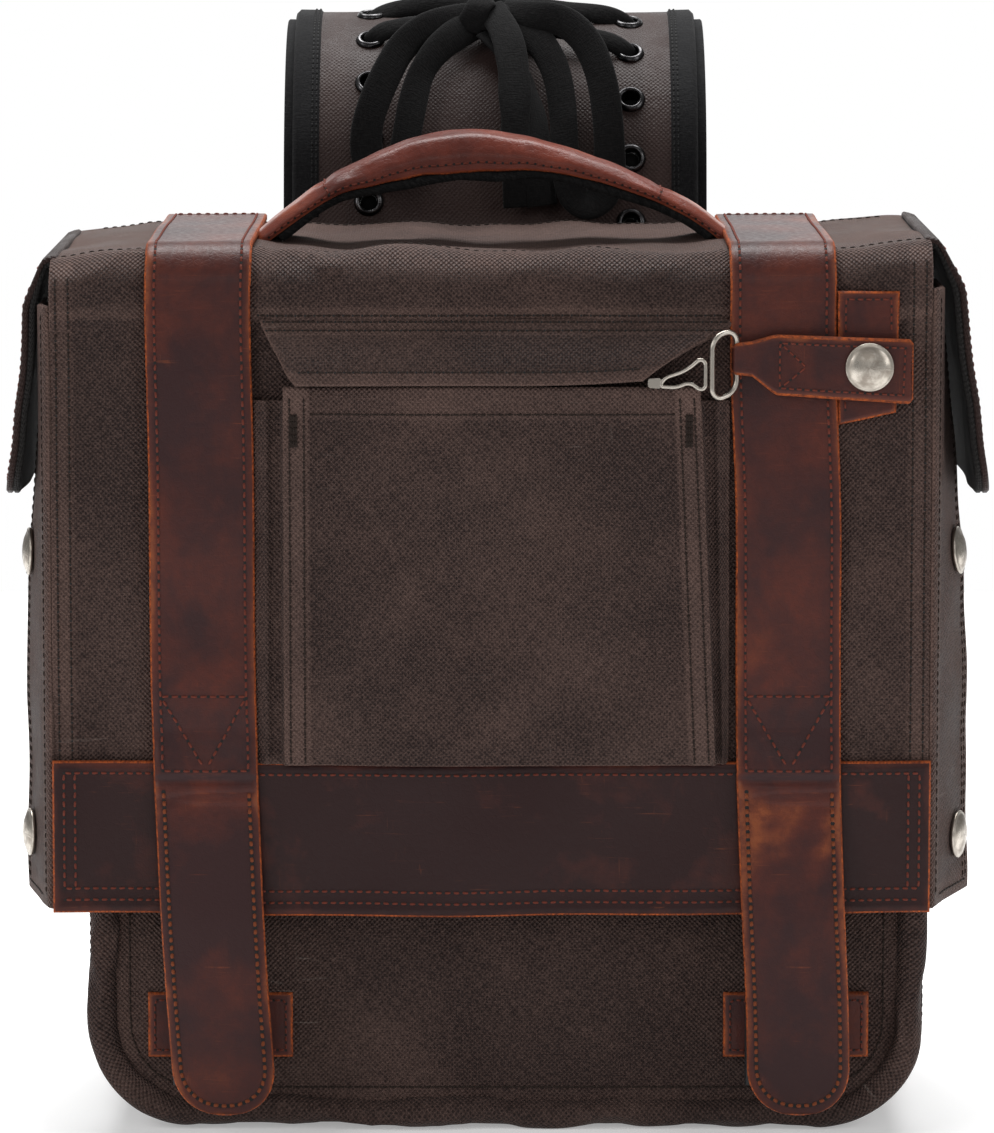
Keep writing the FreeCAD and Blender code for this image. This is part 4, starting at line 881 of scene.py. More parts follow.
def pleat_piece(sign):
    """Pocket side: a pleat that runs from the panel's edge back to the lid."""
    fold = Path([(0, -86.6), (1.4, -83.0, 1.0), (5.0, -82.6, 1.2), (6.6, -84.3, 1.2), (11.6, -80.2)], 0.2)

    def face(a, b):
        share = (b - POCKET_LOW) / (POCKET_MOUTH - POCKET_LOW)
        edge = -74.6 if sign < 0 else 81.2 - 6.0 * share
        reach = 1.0 if sign < 0 else (86.6 - edge) / 11.6
        out, y = fold.at(a)
        wobble = 0.5 * waves(stack(a, b, 0 * a), 40, 61 + sign) * smooth(a, 1, 5)
        return stack(edge + sign * out * reach, y - wobble, b)
    piece = slab_mesh(f"pocket_pleat_{'left' if sign < 0 else 'right'}", face, spread(POCKET_LOW, 266, 3.0),
                      band_of(0, fold.length), 22, 1.2, wear_and_painted_light=canvas_wear(2.0, 0.3), flip=sign < 0)
    return piece


pleats = joined("pocket_pleats", [pleat_piece(-1), pleat_piece(1)])
finish_piece(pleats, "waxed_canvas", "lid", CANVAS_SET, ("pocket_bellows",))

FLAP_DROP = 24.6


def flap_limits(rows):
    down = FLAP_DROP - rows
    left = np.interp(down, [0, 2, 21, 24.6], [-83.4, -83, -73.5, -70.5])
    right = np.interp(down, [0, 3, 11, 19, 24.6], [88.6, 86, 72.5, 62, 54.5])
    return left, right


def flap_face(a, b):
    down = FLAP_DROP - b
    slope = math.radians(25)
    lift = smooth(a, 34, 78) * smooth(down, 2, 20)
    wave = 0.8 * waves(stack(a, b, 0 * a), 50, 71) * smooth(down, 3, 16)
    belly = 1.6 * np.sin(np.clip(down / FLAP_DROP, 0, 1) * math.pi)
    y = -80.6 - math.sin(slope) * down - belly - lift * 3.0 - wave
    z = 295.6 - math.cos(slope) * down + lift * 2.2 - 0.9 * (1 - smooth(a, 10, 50)) * smooth(down, 14, 24)
    return stack(a, y, z)


def flap_wear(a, b, near, face):
    return 0.45 * (1 - smooth(b, 4.4, 5.4)) + 0.4 * smooth(b, 17.5, 18.5) + 0.2 * (1 - smooth(near, 0.5, 3))


flap = slab_mesh("pocket_flap_canvas", flap_face, spread(0, FLAP_DROP, 1.0), flap_limits, 96, 2.2, wear_and_painted_light=flap_wear)
flap_bend = ("lid", "pocket_flap", (0, -80.8, 294.8), (0, -82.4, 289.4))
finish_piece(flap, "waxed_canvas", None, CANVAS_SET, ("pocket_flap",), flap_bend)
flap_thread = stitch_mesh("pocket_flap_seams", above(flap_face, 0.05),
                          [[(-69, 4.6), (54, 4.6)], [(-81, 20.0), (84, 20.0)], [(-82, 23.2), (86, 23.2)]],
                          pitch=3.2, radius=0.36)
finish_piece(flap_thread, "waxed_canvas", None, (THREAD_CLOTH, PAINTED_HOLE_SHADE), (), flap_bend)

# ---------------------------------------------------------------- key tab, ring and wire clip


def base_limits(rows):
    return np.interp(rows, [257, 305.5], [125.6, 125.0]), np.interp(rows, [257, 305.5], [146.4, 147.4])


def base_face(a, b):
    slant = (1 - smooth(b, 259, 270)) * 4.6 * (a - 125.6) / 21
    return stack(a, -82.0 - 0.3 * hump(a, 136, 9) + 0 * b, b + slant)


base = slab_mesh("key_tab_base_leather", base_face, spread(257, 305.5, 2.0), base_limits, 12, 3.0,
                 wear_and_painted_light=leather_wear(16, 81, 1.4, 0.15))
finish_piece(base, "oiled_leather", "lid", LEATHER_SET, ("key_tab_base",))
base_thread = stitch_mesh("key_tab_base_seams", above(base_face, 0.02),
                          [[(128, 291), (128, 302.6), (144.4, 302.6), (144.4, 291)],
                           [(128, 262), (128, 266)], [(144, 264), (144, 267)]], pitch=3.0, radius=0.4)
finish_piece(base_thread, "oiled_leather", "lid", (THREAD, PAINTED_HOLE_SHADE))


def tab_limits(rows):
    low = np.interp(rows, [86.2, 87.4, 94, 102.5, 150.4, 151.4, 152.2], [277.4, 275.6, 275.2, 268.4, 265.1, 265.6, 267])
    high = np.interp(rows, [86.2, 87.4, 94, 102.5, 151, 152.2], [285.6, 287.0, 287.8, 290.2, 288.5, 287])
    return low, high


def tab_face(a, b):
    curl = 0.9 * hump(b, 122, 16) - 0.4 * smooth(b, 142, 152) + 0.3 * waves(stack(b, a, 0 * a), 24, 83)
    fold = 1.4 * (1 - smooth(b, 86.2, 89.5)) ** 2
    return stack(b, -87.2 - curl + fold, a)


tab = slab_mesh("key_tab_leather", tab_face, np.concatenate([spread(86.2, 89, 0.7), spread(90.5, 150, 1.8), spread(150.6, 152.2, 0.5)]),
                tab_limits, 14, 3.7, rim=0.26, wear_and_painted_light=leather_wear(14, 84, 1.5, 0.12), flip=True)
finish_piece(tab, "oiled_leather", "key_tab", LEATHER_SET, ("key_tab",))
tab_lines = [[(271.0, 104), (268.3, 148.6), (285.4, 149.2), (287.2, 104), (271.0, 104)],
             [(271.6, 105), (278.6, 113.5)], [(286.4, 105), (278.6, 113.5)]]
tab_thread = stitch_mesh("key_tab_seams", above(tab_face, 0.02, True), tab_lines, pitch=2.8, radius=0.4, flip=True)
finish_piece(tab_thread, "oiled_leather", "key_tab", (THREAD, PAINTED_HOLE_SHADE))

CAP_PROFILE = [(0.01, 3.3), (2.5, 3.2), (5.0, 2.75), (7.2, 1.9), (8.0, 1.35), (8.45, 1.5), (8.8, 1.1), (8.7, 0.3),
               (8.2, -0.1), (4.0, -0.2)]


key_cap = lathe_mesh("key_tab_snap", (136.3, -87.6, 278.6), (0, -1, 0), CAP_PROFILE[::-1], 40)
finish_piece(key_cap, "snap_metal", "key_tab", (NICKEL,), ("key_tab_cap",))

# ---------------------------------------------------------------- wings and ears

WING_LEVELS = [79, 150, 205, 255, 302, 320]
WING_REACH = [17.0, 17.3, 15.0, 9.6, 4.4, 2.0]
EAR_LEVELS = [229, 262, 301.5, 316]
EAR_REACH = [16.7, 13.7, 7.2, 3.4]
SIDE_START = 160.3
SIDES = (("left", -1, 0.7), ("right", 1, 1.0))


def wing_face(side, sign, share):
    section = Path([(0, -80.4), (1.6, -79.2, 1.0), (4.2, -71, 4), (4.2, -36)], 0.2)

    def face(a, b):
        out, y = section.at(a)
        reach = np.interp(b, WING_LEVELS, WING_REACH) * share
        along_side = np.clip((y + 71) / 35, 0, 1)
        flare = (reach - 4.2) * along_side
        ripple = 0.8 * waves(stack(0 * a, y, b), 46, 91 + sign) * smooth(y, -72, -60)
        x = SIDE_START + out + flare + ripple * (0.5 + 0.5 * smooth(300 - b, 0, 40))
        return stack(sign * x, y, b + corner_shift(sign * 160 + 0 * b, b))
    return face, section.length


def wing_wear(a, b, near, face):
    return 0.4 * (1 - smooth(near, 6.5, 7.6)) + 0.12


CAP_HEIGHTS = {"left": (207.0, 102.4), "right": (207.4, 101.6)}
for side, sign, share in SIDES:
    face, length = wing_face(side, sign, share)
    piece = slab_mesh(f"wing_canvas_{side}", face, spread(79, 303, 3.2), band_of(0, length), 22, 2.5,
                      wear_and_painted_light=wing_wear, flip=sign < 0)
    wing_bend = ("lid", f"wing_{side}", (sign * 160.5, -79.8, 262), (sign * 160.5, -79.8, 224))
    finish_piece(piece, "waxed_canvas", None, CANVAS_SET, (f"wing_{side}", f"wing_root_{side}"), wing_bend)
    lines = [[(length - 4, 84), (length - 4, 300)], [(length - 7, 84), (length - 7, 300)],
             [(10, 83), (length - 4, 83)], [(4.4, 84), (4.4, 300)]]
    thread = stitch_mesh(f"wing_seams_{side}", above(face, 0.05, sign < 0), lines, pitch=3.3, radius=0.36,
                         flip=sign < 0)
    finish_piece(thread, "waxed_canvas", None, (THREAD_CLOTH, PAINTED_HOLE_SHADE), (), wing_bend)
    caps = []
    for height in CAP_HEIGHTS[side]:
        seat = length - 14.0
        spot_on = face(np.array(seat), np.array(height))
        out = normals(face, np.array(seat), np.array(height)) * (-1 if sign < 0 else 1)
        caps.append(lathe_mesh("cap", spot_on + out * 0.4, out, CAP_PROFILE[::-1], 36))
        caps.append(lathe_mesh("cap", spot_on - out * 3.4, out,
                               [(2.2, 3.2), (2.2, 0.4), (6.0, 0.6), (6.3, 0.0), (6.0, -0.6), (3.6, -0.8), (3.2, -0.1), (0.01, -0.1)], 28))
    snaps = joined(f"wing_caps_{side}", caps)
    finish_piece(snaps, "snap_metal", f"wing_{side}", (NICKEL,), (f"wing_snaps_{side}",))


def ear_face(side, sign, share, depth):
    run = [(SIDE_START + EAR_REACH[0] * share + depth, 229)]
    run += [(SIDE_START + EAR_REACH[1] * share + depth, 262, 60), (SIDE_START + EAR_REACH[2] * share + depth, 302, 14)]
    run += [(SIDE_START + 2.4, 316.5 + depth * 0.62, 3.5), (SIDE_START - 2.5, 317.6 + depth * 0.6)]
    path = Path(run, 0.3)

    def face(a, b):
        x, z = path.at(b)
        free = 1 - smooth(b, 40, 84)
        curl = 0.9 * waves(stack(0 * a, a, b), 70, 95 + sign) * free
        tuck = -1.6 * smooth(np.abs(a + 3), 40, 66) * free
        x = x + curl + tuck + 1.8 * hump(b, 0, 22) * smooth(-a, 20, 64)
        return stack(sign * x, a, z + corner_shift(sign * 160 + 0 * b, z))
    return face, path.length


def ear_limits(rows):
    corner = 15.0
    inset = corner * (1 - np.sqrt(np.clip(1 - (1 - np.clip(rows / corner, 0, 1)) ** 2, 0, 1)))
    return -68 + inset, 62 - inset


def ear_wear(a, b, near, face):
    return 0.25 * (1 - smooth(near, 3.0, 4.2)) + 0.05


for side, sign, share in SIDES:
    ear_bend = ("lid", f"ear_{side}", (sign * 159.5, 0, 318.5), (sign * 163.5, 0, 312))
    for label, depth, materials, node, slot in (
            ("ear_cloth", 5.0, (EAR_CLOTH,) * 3, f"ear_{side}", "waxed_canvas"),
            ("ear_inner", 2.5, (LINING,) * 3, f"ear_lining_{side}", "lining_cloth")):
        face, length = ear_face(side, sign, share, depth)
        rows = np.concatenate([np.linspace(0, 15, 10), spread(17, length, 2.4)])
        piece = slab_mesh(f"{label}_{side}", face, rows, ear_limits, 44, 2.45, wear_and_painted_light=ear_wear, flip=sign < 0)
        finish_piece(piece, slot, None, materials, (node,), ear_bend)
        if label == "ear_cloth":
            lines = [[(-63, length - 16), (-63.5, 18), (-59, 7.5), (-50, 4), (45, 4), (53, 7.5), (57.5, 18),
                      (57, length - 16)],
                     [(-66, length - 9), (60, length - 9)]]
            thread = stitch_mesh(f"ear_seams_{side}", above(face, 0.05, sign < 0), lines, pitch=3.2, radius=0.38,
                                 flip=sign < 0)
            finish_piece(thread, "waxed_canvas", None, (THREAD, PAINTED_HOLE_SHADE), (), ear_bend)

# ---------------------------------------------------------------- handle


def smooth_line(points, step=0.8):
    """Catmull-Rom line through points, resampled evenly by distance."""
    points = np.asarray(points, float)
    ends = np.concatenate([[2 * points[0] - points[1]], points, [2 * points[-1] - points[-2]]])
    parts = []
    share = np.linspace(0, 1, 40, endpoint=False)[:, None]
    for p0, p1, p2, p3 in zip(ends, ends[1:], ends[2:], ends[3:]):
        parts.append(0.5 * (2 * p1 + (p2 - p0) * share + (2 * p0 - 5 * p1 + 4 * p2 - p3) * share ** 2
                            + (3 * p1 - p0 - 3 * p2 + p3) * share ** 3))
    dense = np.concatenate(parts + [points[-1:]])
    return Path([tuple(point) for point in dense])


CREST = smooth_line([(-88, 320.2), (-84, 323.4), (-74, 331.4), (-64, 339.2), (-51, 346.6), (-32, 354.4), (-14, 358.4),
                     (0, 358.0), (18, 355.0), (38, 349.0), (57, 341.2), (66, 337.0), (76, 331.4), (87, 323.2), (91, 320.0)])
GRIP_LOW = CREST.where(0, -61)
GRIP_HIGH = CREST.where(0, 62)
WRAP = Path([(-15.2, -13.4), (-16.0, -7.0, 6), (-11.6, -0.4, 5), (0, 0.6, 40), (11.6, -0.4, 5), (16.0, -7.0, 6),
             (15.2, -13.4)], 0.2)


def grip_share(a):
    return smooth(a, GRIP_LOW - 9, GRIP_LOW + 3) * (1 - smooth(a, GRIP_HIGH - 3, GRIP_HIGH + 9))


def grip_height(x):
    """The grip is full left of its middle and thins towards the right."""
    return np.interp(x, [-90, -72, -60, -48, -36, -20, -8, 4, 14, 35, 52, 64, 90],
                     [0.40, 0.44, 0.52, 0.76, 0.95, 1.06, 1.08, 1.0, 0.86, 0.62, 0.50, 0.42, 0.36])


def along_crest(a):
    """Crest point, its tangent and its upward direction in the XZ plane."""
    x, z = CREST.at(a)
    x_on, z_on = CREST.at(a + 1)
    x_off, z_off = CREST.at(a - 1)
    length = np.hypot(x_on - x_off, z_on - z_off)
    tangent = ((x_on - x_off) / length, (z_on - z_off) / length)
    return x, z, tangent


def handle_face(a, b):
    x, z, (tx, tz) = along_crest(a)
    depth, height = WRAP.at(b)
    grip = grip_share(a)
    wide = 0.94 + 0.06 * grip
    tall = grip_height(x)
    dent = 1.3 * (hump(a, GRIP_LOW - 2, 4.5) + hump(a, GRIP_HIGH + 2, 4.5)) * hump(b, WRAP.length / 2, 16)
    crush = 0.5 * waves(stack(a, b * 0.6, 0 * a), 26, 101) + 0.35 * waves(stack(a, b, 0 * a), 11, 102) * grip
    height = height * tall - dent + crush * 0.7
    depth = depth * wide * (1 + 0.02 * waves(stack(a, 0 * a, 0 * a), 40, 103))
    return stack(x - tz * height, depth, z + tx * height)


def handle_wear_and_highlight(a, b, near, face):
    patches = np.clip(waves(face, 30, 104) * 0.5 + 0.35, 0, 0.8)
    # Painted highlight, together with polish from hands: a paler band along the handle's upper front.
    crest = 0.25 * hump(b, WRAP.length * 0.42, 14)
    return np.clip(patches * 0.5 + crest + 0.6 * np.exp(-near / 0.8) + 0.4 * (1 - grip_share(a)), 0, 1)


handle_bend = ("lid", "handle", (0, 0, 321), (0, 0, 338))
handle = slab_mesh("handle_wrap", handle_face, spread(0, WRAP.length, 1.4), band_of(0, CREST.length), 150, 2.6,
                   wear_and_painted_light=handle_wear_and_highlight)
finish_piece(handle, "oiled_leather", None, (LEATHER_GRIP, RAW_EDGE, FLESH),
             ("handle_leather", "handle_core", "handle_end_left", "handle_end_right"), handle_bend)
edge_b = 3.4
handle_thread = stitch_mesh("handle_seams", above(handle_face, 0.02),
                            [[(4, edge_b), (CREST.length - 4, edge_b)],
                             [(4, WRAP.length - edge_b), (CREST.length - 4, WRAP.length - edge_b)],
                             [(GRIP_LOW - 2, 4), (GRIP_LOW - 2, WRAP.length - 4)],
                             [(GRIP_HIGH + 2, 4), (GRIP_HIGH + 2, WRAP.length - 4)]], pitch=3.0, radius=0.42)
finish_piece(handle_thread, "oiled_leather", None, (THREAD, PAINTED_HOLE_SHADE), (), handle_bend)


def handle_web_face(a, b):
    x, z, (tx, tz) = along_crest(a)
    tall = grip_height(x)
    height = -14.6 * tall - 2.2 + 0.5 * waves(stack(a, b, 0 * a), 30, 106)
    return stack(x - tz * height, b, z + tx * height)


handle_web = slab_mesh("handle_web", handle_web_face, spread(-14.2, 14.2, 2.8), band_of(7, CREST.length - 7), 130, 4.0,
                       flip=True)
finish_piece(handle_web, "webbing", None, (WEBBING,) * 3, ("handle_webbing",), handle_bend)

# ---------------------------------------------------------------- yoke

ARCH, LEAN = 73.0, math.radians(12)
ARCH_Y = 80 + ARCH * math.cos(LEAN)
ARCH_Z = 340 - ARCH * math.sin(LEAN)
YOKE_END = ARCH * (math.radians(106) - LEAN)
YOKE_LOW, YOKE_HIGH = -77.0, 80.0


def yoke_point(b, out):
    """(y, z) at a distance along the yoke's face and out from it; it comes down to the mounting panel."""
    b = np.asarray(b, float)
    angle = LEAN + np.maximum(b, 0) / ARCH
    y = ARCH_Y - (ARCH + out) * np.cos(angle)
    z = ARCH_Z + (ARCH + out) * np.sin(angle)
    low = np.minimum(b, 0)
    y = y + low * math.sin(LEAN)
    z = z + low * math.cos(LEAN)
    below = np.minimum(b + 23, 0)
    foot_y = 73.6 - (-below) * 0.0
    share = smooth(-b, 19, 30)
    foot_z = 317.5 + below
    return y * (1 - share) + foot_y * share, z * (1 - share) + foot_z * share


def yoke_face(out):
    def face(a, b):
        edge = smooth(np.abs(a - 1.5), 40, 78)
        wave = 0.8 * waves(stack(a, b, 0 * a), 80, 111) * smooth(b, -20, 20)
        droop = 1.6 * hump(b, 70, 50) * edge * np.sign(-(a - 1.5)) * 0.5
        y, z = yoke_point(b, out + wave + droop)
        return stack(a, y, z)
    return face


def holed(piece, cutters):
    """Cuts a joined set of cylinders out of a piece and keeps the outcome as its mesh."""
    modifier = piece.modifiers.new("holes", "BOOLEAN")
    modifier.operation = "DIFFERENCE"
    modifier.solver = "EXACT"
    modifier.object = cutters
    bpy.context.view_layer.update()
    mesh = bpy.data.meshes.new_from_object(piece.evaluated_get(bpy.context.evaluated_depsgraph_get()))
    piece.modifiers.clear()
    piece.data = mesh
    return piece


def cylinder_mesh(name, centre, axis, radius, low, high, sides=28):
    """Closed cylinder for cutting."""
    return lathe_mesh(name, centre, axis, [(0.001, low), (radius, low), (radius, high), (0.001, high)], sides)


seats = []
for row in range(5):
    for sign in (-1, 1):
        b = -17.5 + row * 24.8 - sign * 4
        here = yoke_face(0)(np.array(3.3 + sign * 50.7), np.array(b))
        out = normals(yoke_face(0), np.array(3.3 + sign * 50.7), np.array(b))
        seats.append((here, out))
cutters = joined("eyelet_cutters", [cylinder_mesh("cutter", here, out, 4.2, -9, 5) for here, out in seats])
yoke_bend = ("body", "yoke", (0, 78, 312), (0, 78, 322))
yoke_rows = np.concatenate([spread(-99, -32, 5.0), spread(-29, YOKE_END, 2.2)])


def yoke_wear(a, b, near, face):
    return 0.30 * (1 - smooth(np.abs(np.abs(a - 1.5) - 62), 3, 5)) + 0.1 * np.clip(waves(face, 30, 113), 0, 1)


panel = slab_mesh("yoke_cloth", yoke_face(0), yoke_rows, band_of(YOKE_LOW + 1.6, YOKE_HIGH - 1.6), 70, 3.0, wear_and_painted_light=yoke_wear)
finish_piece(holed(panel, cutters), "yoke_canvas", None, (YOKE_CLOTH,) * 3, ("yoke_panel", "yoke_mounting_panel"), yoke_bend)
backing_rows = yoke_rows[yoke_rows > -21.5]
backing = slab_mesh("yoke_back", yoke_face(-3.05), backing_rows, band_of(YOKE_LOW - 3.4, YOKE_HIGH + 3.4), 60, 1.9)
finish_piece(holed(backing, cutters), "black_binding", None, (TAPE,) * 3, ("yoke_backing",), yoke_bend)
bpy.data.objects.remove(cutters)
bindings, edge_lines = [], []
for low, high in ((YOKE_LOW, YOKE_LOW + 11), (YOKE_HIGH - 11, YOKE_HIGH)):
    bindings.append(slab_mesh("binding", yoke_face(0.9), yoke_rows[(yoke_rows > -22) & (yoke_rows < YOKE_END - 5)], band_of(low, high), 12, 3.9, rim=0.4))
bindings.append(slab_mesh("binding", yoke_face(0.9), spread(YOKE_END - 7, YOKE_END + 0.4, 1.0), band_of(YOKE_LOW, YOKE_HIGH), 60, 3.9, rim=0.4))
finish_piece(joined("yoke_edge", bindings), "black_binding", None, (TAPE,) * 3, ("yoke_binding",), yoke_bend)
edge_lines = [[(YOKE_LOW + 7.6, -19), (YOKE_LOW + 7.6, YOKE_END - 7)], [(YOKE_HIGH - 7.6, -19), (YOKE_HIGH - 7.6, YOKE_END - 7)],
              [(YOKE_LOW + 9.2, -19), (YOKE_LOW + 9.2, YOKE_END - 7)], [(YOKE_HIGH - 9.2, -19), (YOKE_HIGH - 9.2, YOKE_END - 7)]]
yoke_thread = stitch_mesh("yoke_seams", above(yoke_face(0.9), 0.02), edge_lines, pitch=2.6, radius=0.36)
finish_piece(yoke_thread, "black_binding", None, (THREAD_BLACK, PAINTED_HOLE_SHADE), (), yoke_bend)
foot_thread = stitch_mesh("yoke_foot_seams", above(yoke_face(0), 0.02, True),
                          [[(YOKE_LOW + 6, -94), (YOKE_HIGH - 6, -94), (YOKE_HIGH - 6, -40), (YOKE_LOW + 6, -40), (YOKE_LOW + 6, -94)],
                           [(YOKE_LOW + 6, -94), (YOKE_HIGH - 6, -40)], [(YOKE_LOW + 6, -40), (YOKE_HIGH - 6, -94)]],
                          pitch=3.2, radius=0.4)
finish_piece(foot_thread, "yoke_canvas", None, (THREAD_DARK, PAINTED_HOLE_SHADE), (), yoke_bend)
RING_PROFILE = [(3.35, -6.4), (3.3, -2), (3.32, 0.6), (3.55, 1.25), (4.1, 1.62), (4.7, 1.5), (5.3, 1.0), (5.75, 0.25),
                (5.7, 0.02), (4.2, 0.02), (4.0, -1.5), (4.0, -5.05), (5.6, -5.1), (5.7, -5.5), (5.3, -6.0), (4.4, -6.5), (3.35, -6.4)]
rings = [lathe_mesh("ring", here, out, RING_PROFILE, 36) for here, out in seats]
finish_piece(joined("yoke_rings", rings), "eyelet_metal", "yoke", (EYELET,), ("yoke_eyelets",))
# Painted shade: a thin near-black disc deep in each eyelet's bore, where the open bore shows only shade.
shades = [lathe_mesh("shade", here, out, [(0.01, -5.6), (3.32, -5.6), (3.32, -5.9), (0.01, -5.9)], 28) for here, out in seats]
finish_piece(joined("yoke_eyelet_shades", shades), "black_binding", "yoke", (PAINTED_HOLE_SHADE,))

# ---------------------------------------------------------------- laces

LACE_ROUTES = {
    "lace_loop_left": [
        (-6, 111, 397), (-20, 102, 396), (-33.5, 92, 388), (-41, 82.5, 375), (-46.5, 76, 362), (-48.6, 73, 351.5),
        (-47.2, 71.6, 341.5), (-41.2, 71.2, 336), (-35.2, 72, 341.5), (-32.6, 75, 352), (-30.4, 80.5, 364.5),
        (-26.5, 89, 378), (-17, 99, 389), (-6, 108, 394.5)],
    "lace_loop_right": [
        (4, 111, 398), (15.5, 101.5, 398), (28, 97.5, 396.5), (37.5, 90.5, 388), (42.5, 83, 375), (44.8, 76.5, 360),
        (45.6, 73, 346), (45.4, 71.9, 335.5), (42.4, 71.4, 328), (36.4, 71.2, 325), (31, 71.6, 329.5),
        (28.8, 73, 338), (28, 76, 350), (27.4, 82.5, 365), (24.5, 91, 379.5), (16, 100, 391.5), (4, 108, 395)],
    "lace_end_left": [
        (-1, 109, 400.5), (5.5, 98.5, 393.5), (8.8, 86.5, 378.5), (9.4, 77.5, 362.5), (9, 72.5, 347.5),
        (10.2, 71, 335.5), (11, 71.4, 325)],
    "lace_end_right": [
        (-1.5, 105, 391), (7, 98, 383), (14, 89.5, 371.5), (18, 81, 358), (19.2, 75.2, 344.5), (19, 72.8, 333.5),
        (20, 72.6, 325.5)],
}
LACE_WIDTH, LACE_THICK = 13.0, 2.0
# Turn of the flat lace about its own line, in degrees, at even shares of its length.
LACE_TURN = {
    "lace_loop_left": [10, 25, 35, 30, 20, 10, 0, -10, -25, -40, -30, -10],
    "lace_loop_right": [-10, -20, -25, -30, -20, -10, 0, 15, 30, 20, 10, 0],
    "lace_end_left": [0, 0, 5, 8, 4, 0],
    "lace_end_right": [30, 40, 50, 40, 30, 20],
}


def ribbon_mesh(name, line, turns, width=LACE_WIDTH, thick=LACE_THICK, facing=(0, -0.85, 0.5), end_fray=False):
    """Flat woven lace that follows a line, with its face turned towards a direction."""
    tangent = np.gradient(line, axis=0)
    tangent /= np.linalg.norm(tangent, axis=1, keepdims=True)
    face = np.broadcast_to(np.array(facing, float), line.shape)
    out = face - tangent * np.sum(face * tangent, axis=1, keepdims=True)
    out /= np.maximum(np.linalg.norm(out, axis=1, keepdims=True), 1e-6)
    side = np.cross(tangent, out)
    share = np.linspace(0, 1, len(line))
    turn = np.radians(np.interp(share, np.linspace(0, 1, len(turns)), turns))[:, None]
    across = side * np.cos(turn) + out * np.sin(turn)
    up = out * np.cos(turn) - side * np.sin(turn)
    angles = np.linspace(0, 2 * math.pi, 20, endpoint=False)
    wide = np.sign(np.cos(angles)) * np.abs(np.cos(angles)) ** 0.75 * width / 2
    high = np.sign(np.sin(angles)) * np.abs(np.sin(angles)) ** 0.7 * thick / 2
    cup = -0.9 * (wide / (width / 2)) ** 2 * 0.5
    pinch = 1 - 0.06 * (1 + waves(stack(share * 180, 0 * share, 0 * share), 30, len(line)))[:, None]
    section = np.stack([wide[None, :] * pinch, (high + cup)[None, :] + 0 * pinch], -1)
    return sweep_mesh(name, line, across, up, section)


laces = {}
for name, route in LACE_ROUTES.items():
    line, length = curve_points(route, 120)
    laces[name] = ribbon_mesh(name + "_ribbon", line, LACE_TURN[name])
    finish_piece(laces[name], "black_lace", "yoke", (LACE,), (name,))
    [spot(*p) for p in line]


def rung_mesh(name, line, turns, width=9.5):
    return ribbon_mesh(name, line, turns, width=width, thick=2.4)


rung_lines = []
left_two, right_two, left_one, right_one = seats[6], seats[7], seats[8], seats[9]


def lace_run(name, start, end, rise, turns, drop_in=None):
    """Taut run of lace between two points, rising a little in the middle, with its end turned into an eyelet."""
    start, end = np.array(start, float), np.array(end, float)
    middle = (start + end) / 2 + np.array([0, -0.55, 0.83]) * rise
    points = [start, middle, end]
    if drop_in is not None:
        points = [start + drop_in[0] * -6.5, start + drop_in[0] * 1.0] + points[1:]
        if drop_in[1] is not None:
            points = points[:-1] + [end + drop_in[1] * 1.0, end + drop_in[1] * -6.5]
    line, _ = curve_points(points, 60)
    return ribbon_mesh(name, line, turns, width=8.6, thick=2.4)


runs = [
    lace_run("rung", left_one[0] + left_one[1] * 2.4, right_one[0] + right_one[1] * 2.4, 5.5, [20, -5, 5, 15, -20],
             (left_one[1], right_one[1])),
    lace_run("rung", left_two[0] + left_two[1] * 2.2, (-12, 112, 395.5), 2.5, [0, 12, 30], (left_two[1], None)),
    lace_run("rung", right_two[0] + right_two[1] * 2.2, (10, 110, 393.5), 3.0, [0, -14, -30], (right_two[1], None)),
]
rungs = finish_piece(joined("lace_rung_ribbons", runs), "black_lace", "yoke", (LACE,), ("lace_rungs",))


def knot_piece():
    """Bow knot: a broad band of lace folded over a lump of it."""
    over, _ = curve_points([(-9, 104.5, 391.5), (-6.5, 103, 399.5), (-2.5, 108.5, 404.2), (0.5, 115, 402.5), (2, 117, 396.5)], 40)
    under, _ = curve_points([(-11.5, 112, 396.5), (-5, 104.8, 396), (2, 104.2, 395.2), (10.5, 110, 395.5)], 40)
    lump = lathe_mesh("lump", (-0.5, 110.8, 396.4), (1, 0, 0.08),
                      [(0.01, -9.5), (3.2, -9.0), (5.2, -5.5), (5.9, 0), (5.2, 5.5), (3.2, 9.0), (0.01, 9.5)], 24)
    return joined("lace_knot_folds", [lump, ribbon_mesh("over", over, [0, 10, 0], width=11, thick=2.6),
                                      ribbon_mesh("under", under, [-10, 5, 10], width=10, thick=2.6)])


knot = finish_piece(knot_piece(), "black_lace", "yoke", (LACE,), ("lace_knot",))

# ---------------------------------------------------------------- body of the bag

BODY_LEFT, BODY_RIGHT, BODY_MID = -148.5, 160.0, 5.75
CORNER = 40.0


def outline(inset, top=308.0, step=0.5):
    """Open outline of the body seen from the front, from its left top down and round to its right top."""
    foot = inset - DROP
    return Path([(BODY_LEFT + inset, top), (BODY_LEFT + inset, foot, CORNER - inset),
                 (BODY_RIGHT - inset, foot, CORNER - inset), (BODY_RIGHT - inset, top)], step)


def inside_limits(inset):
    """Limits of a panel that fills the outline, at heights above its foot."""
    def limits(rows):
        round_in = CORNER - inset
        low = np.clip(round_in - (rows + DROP - inset), 0, round_in)
        pull = round_in - np.sqrt(np.maximum(round_in ** 2 - low ** 2, 0))
        return BODY_LEFT + inset + pull, BODY_RIGHT - inset - pull
    return limits


def panel_rows(inset, top):
    """Heights that are closer together round the corners."""
    low = inset - DROP + (CORNER - inset) * (1 - np.cos(np.linspace(0.12, math.pi / 2, 16)))
    return np.concatenate([low, spread(low[-1] + 4, top, 4.0)])


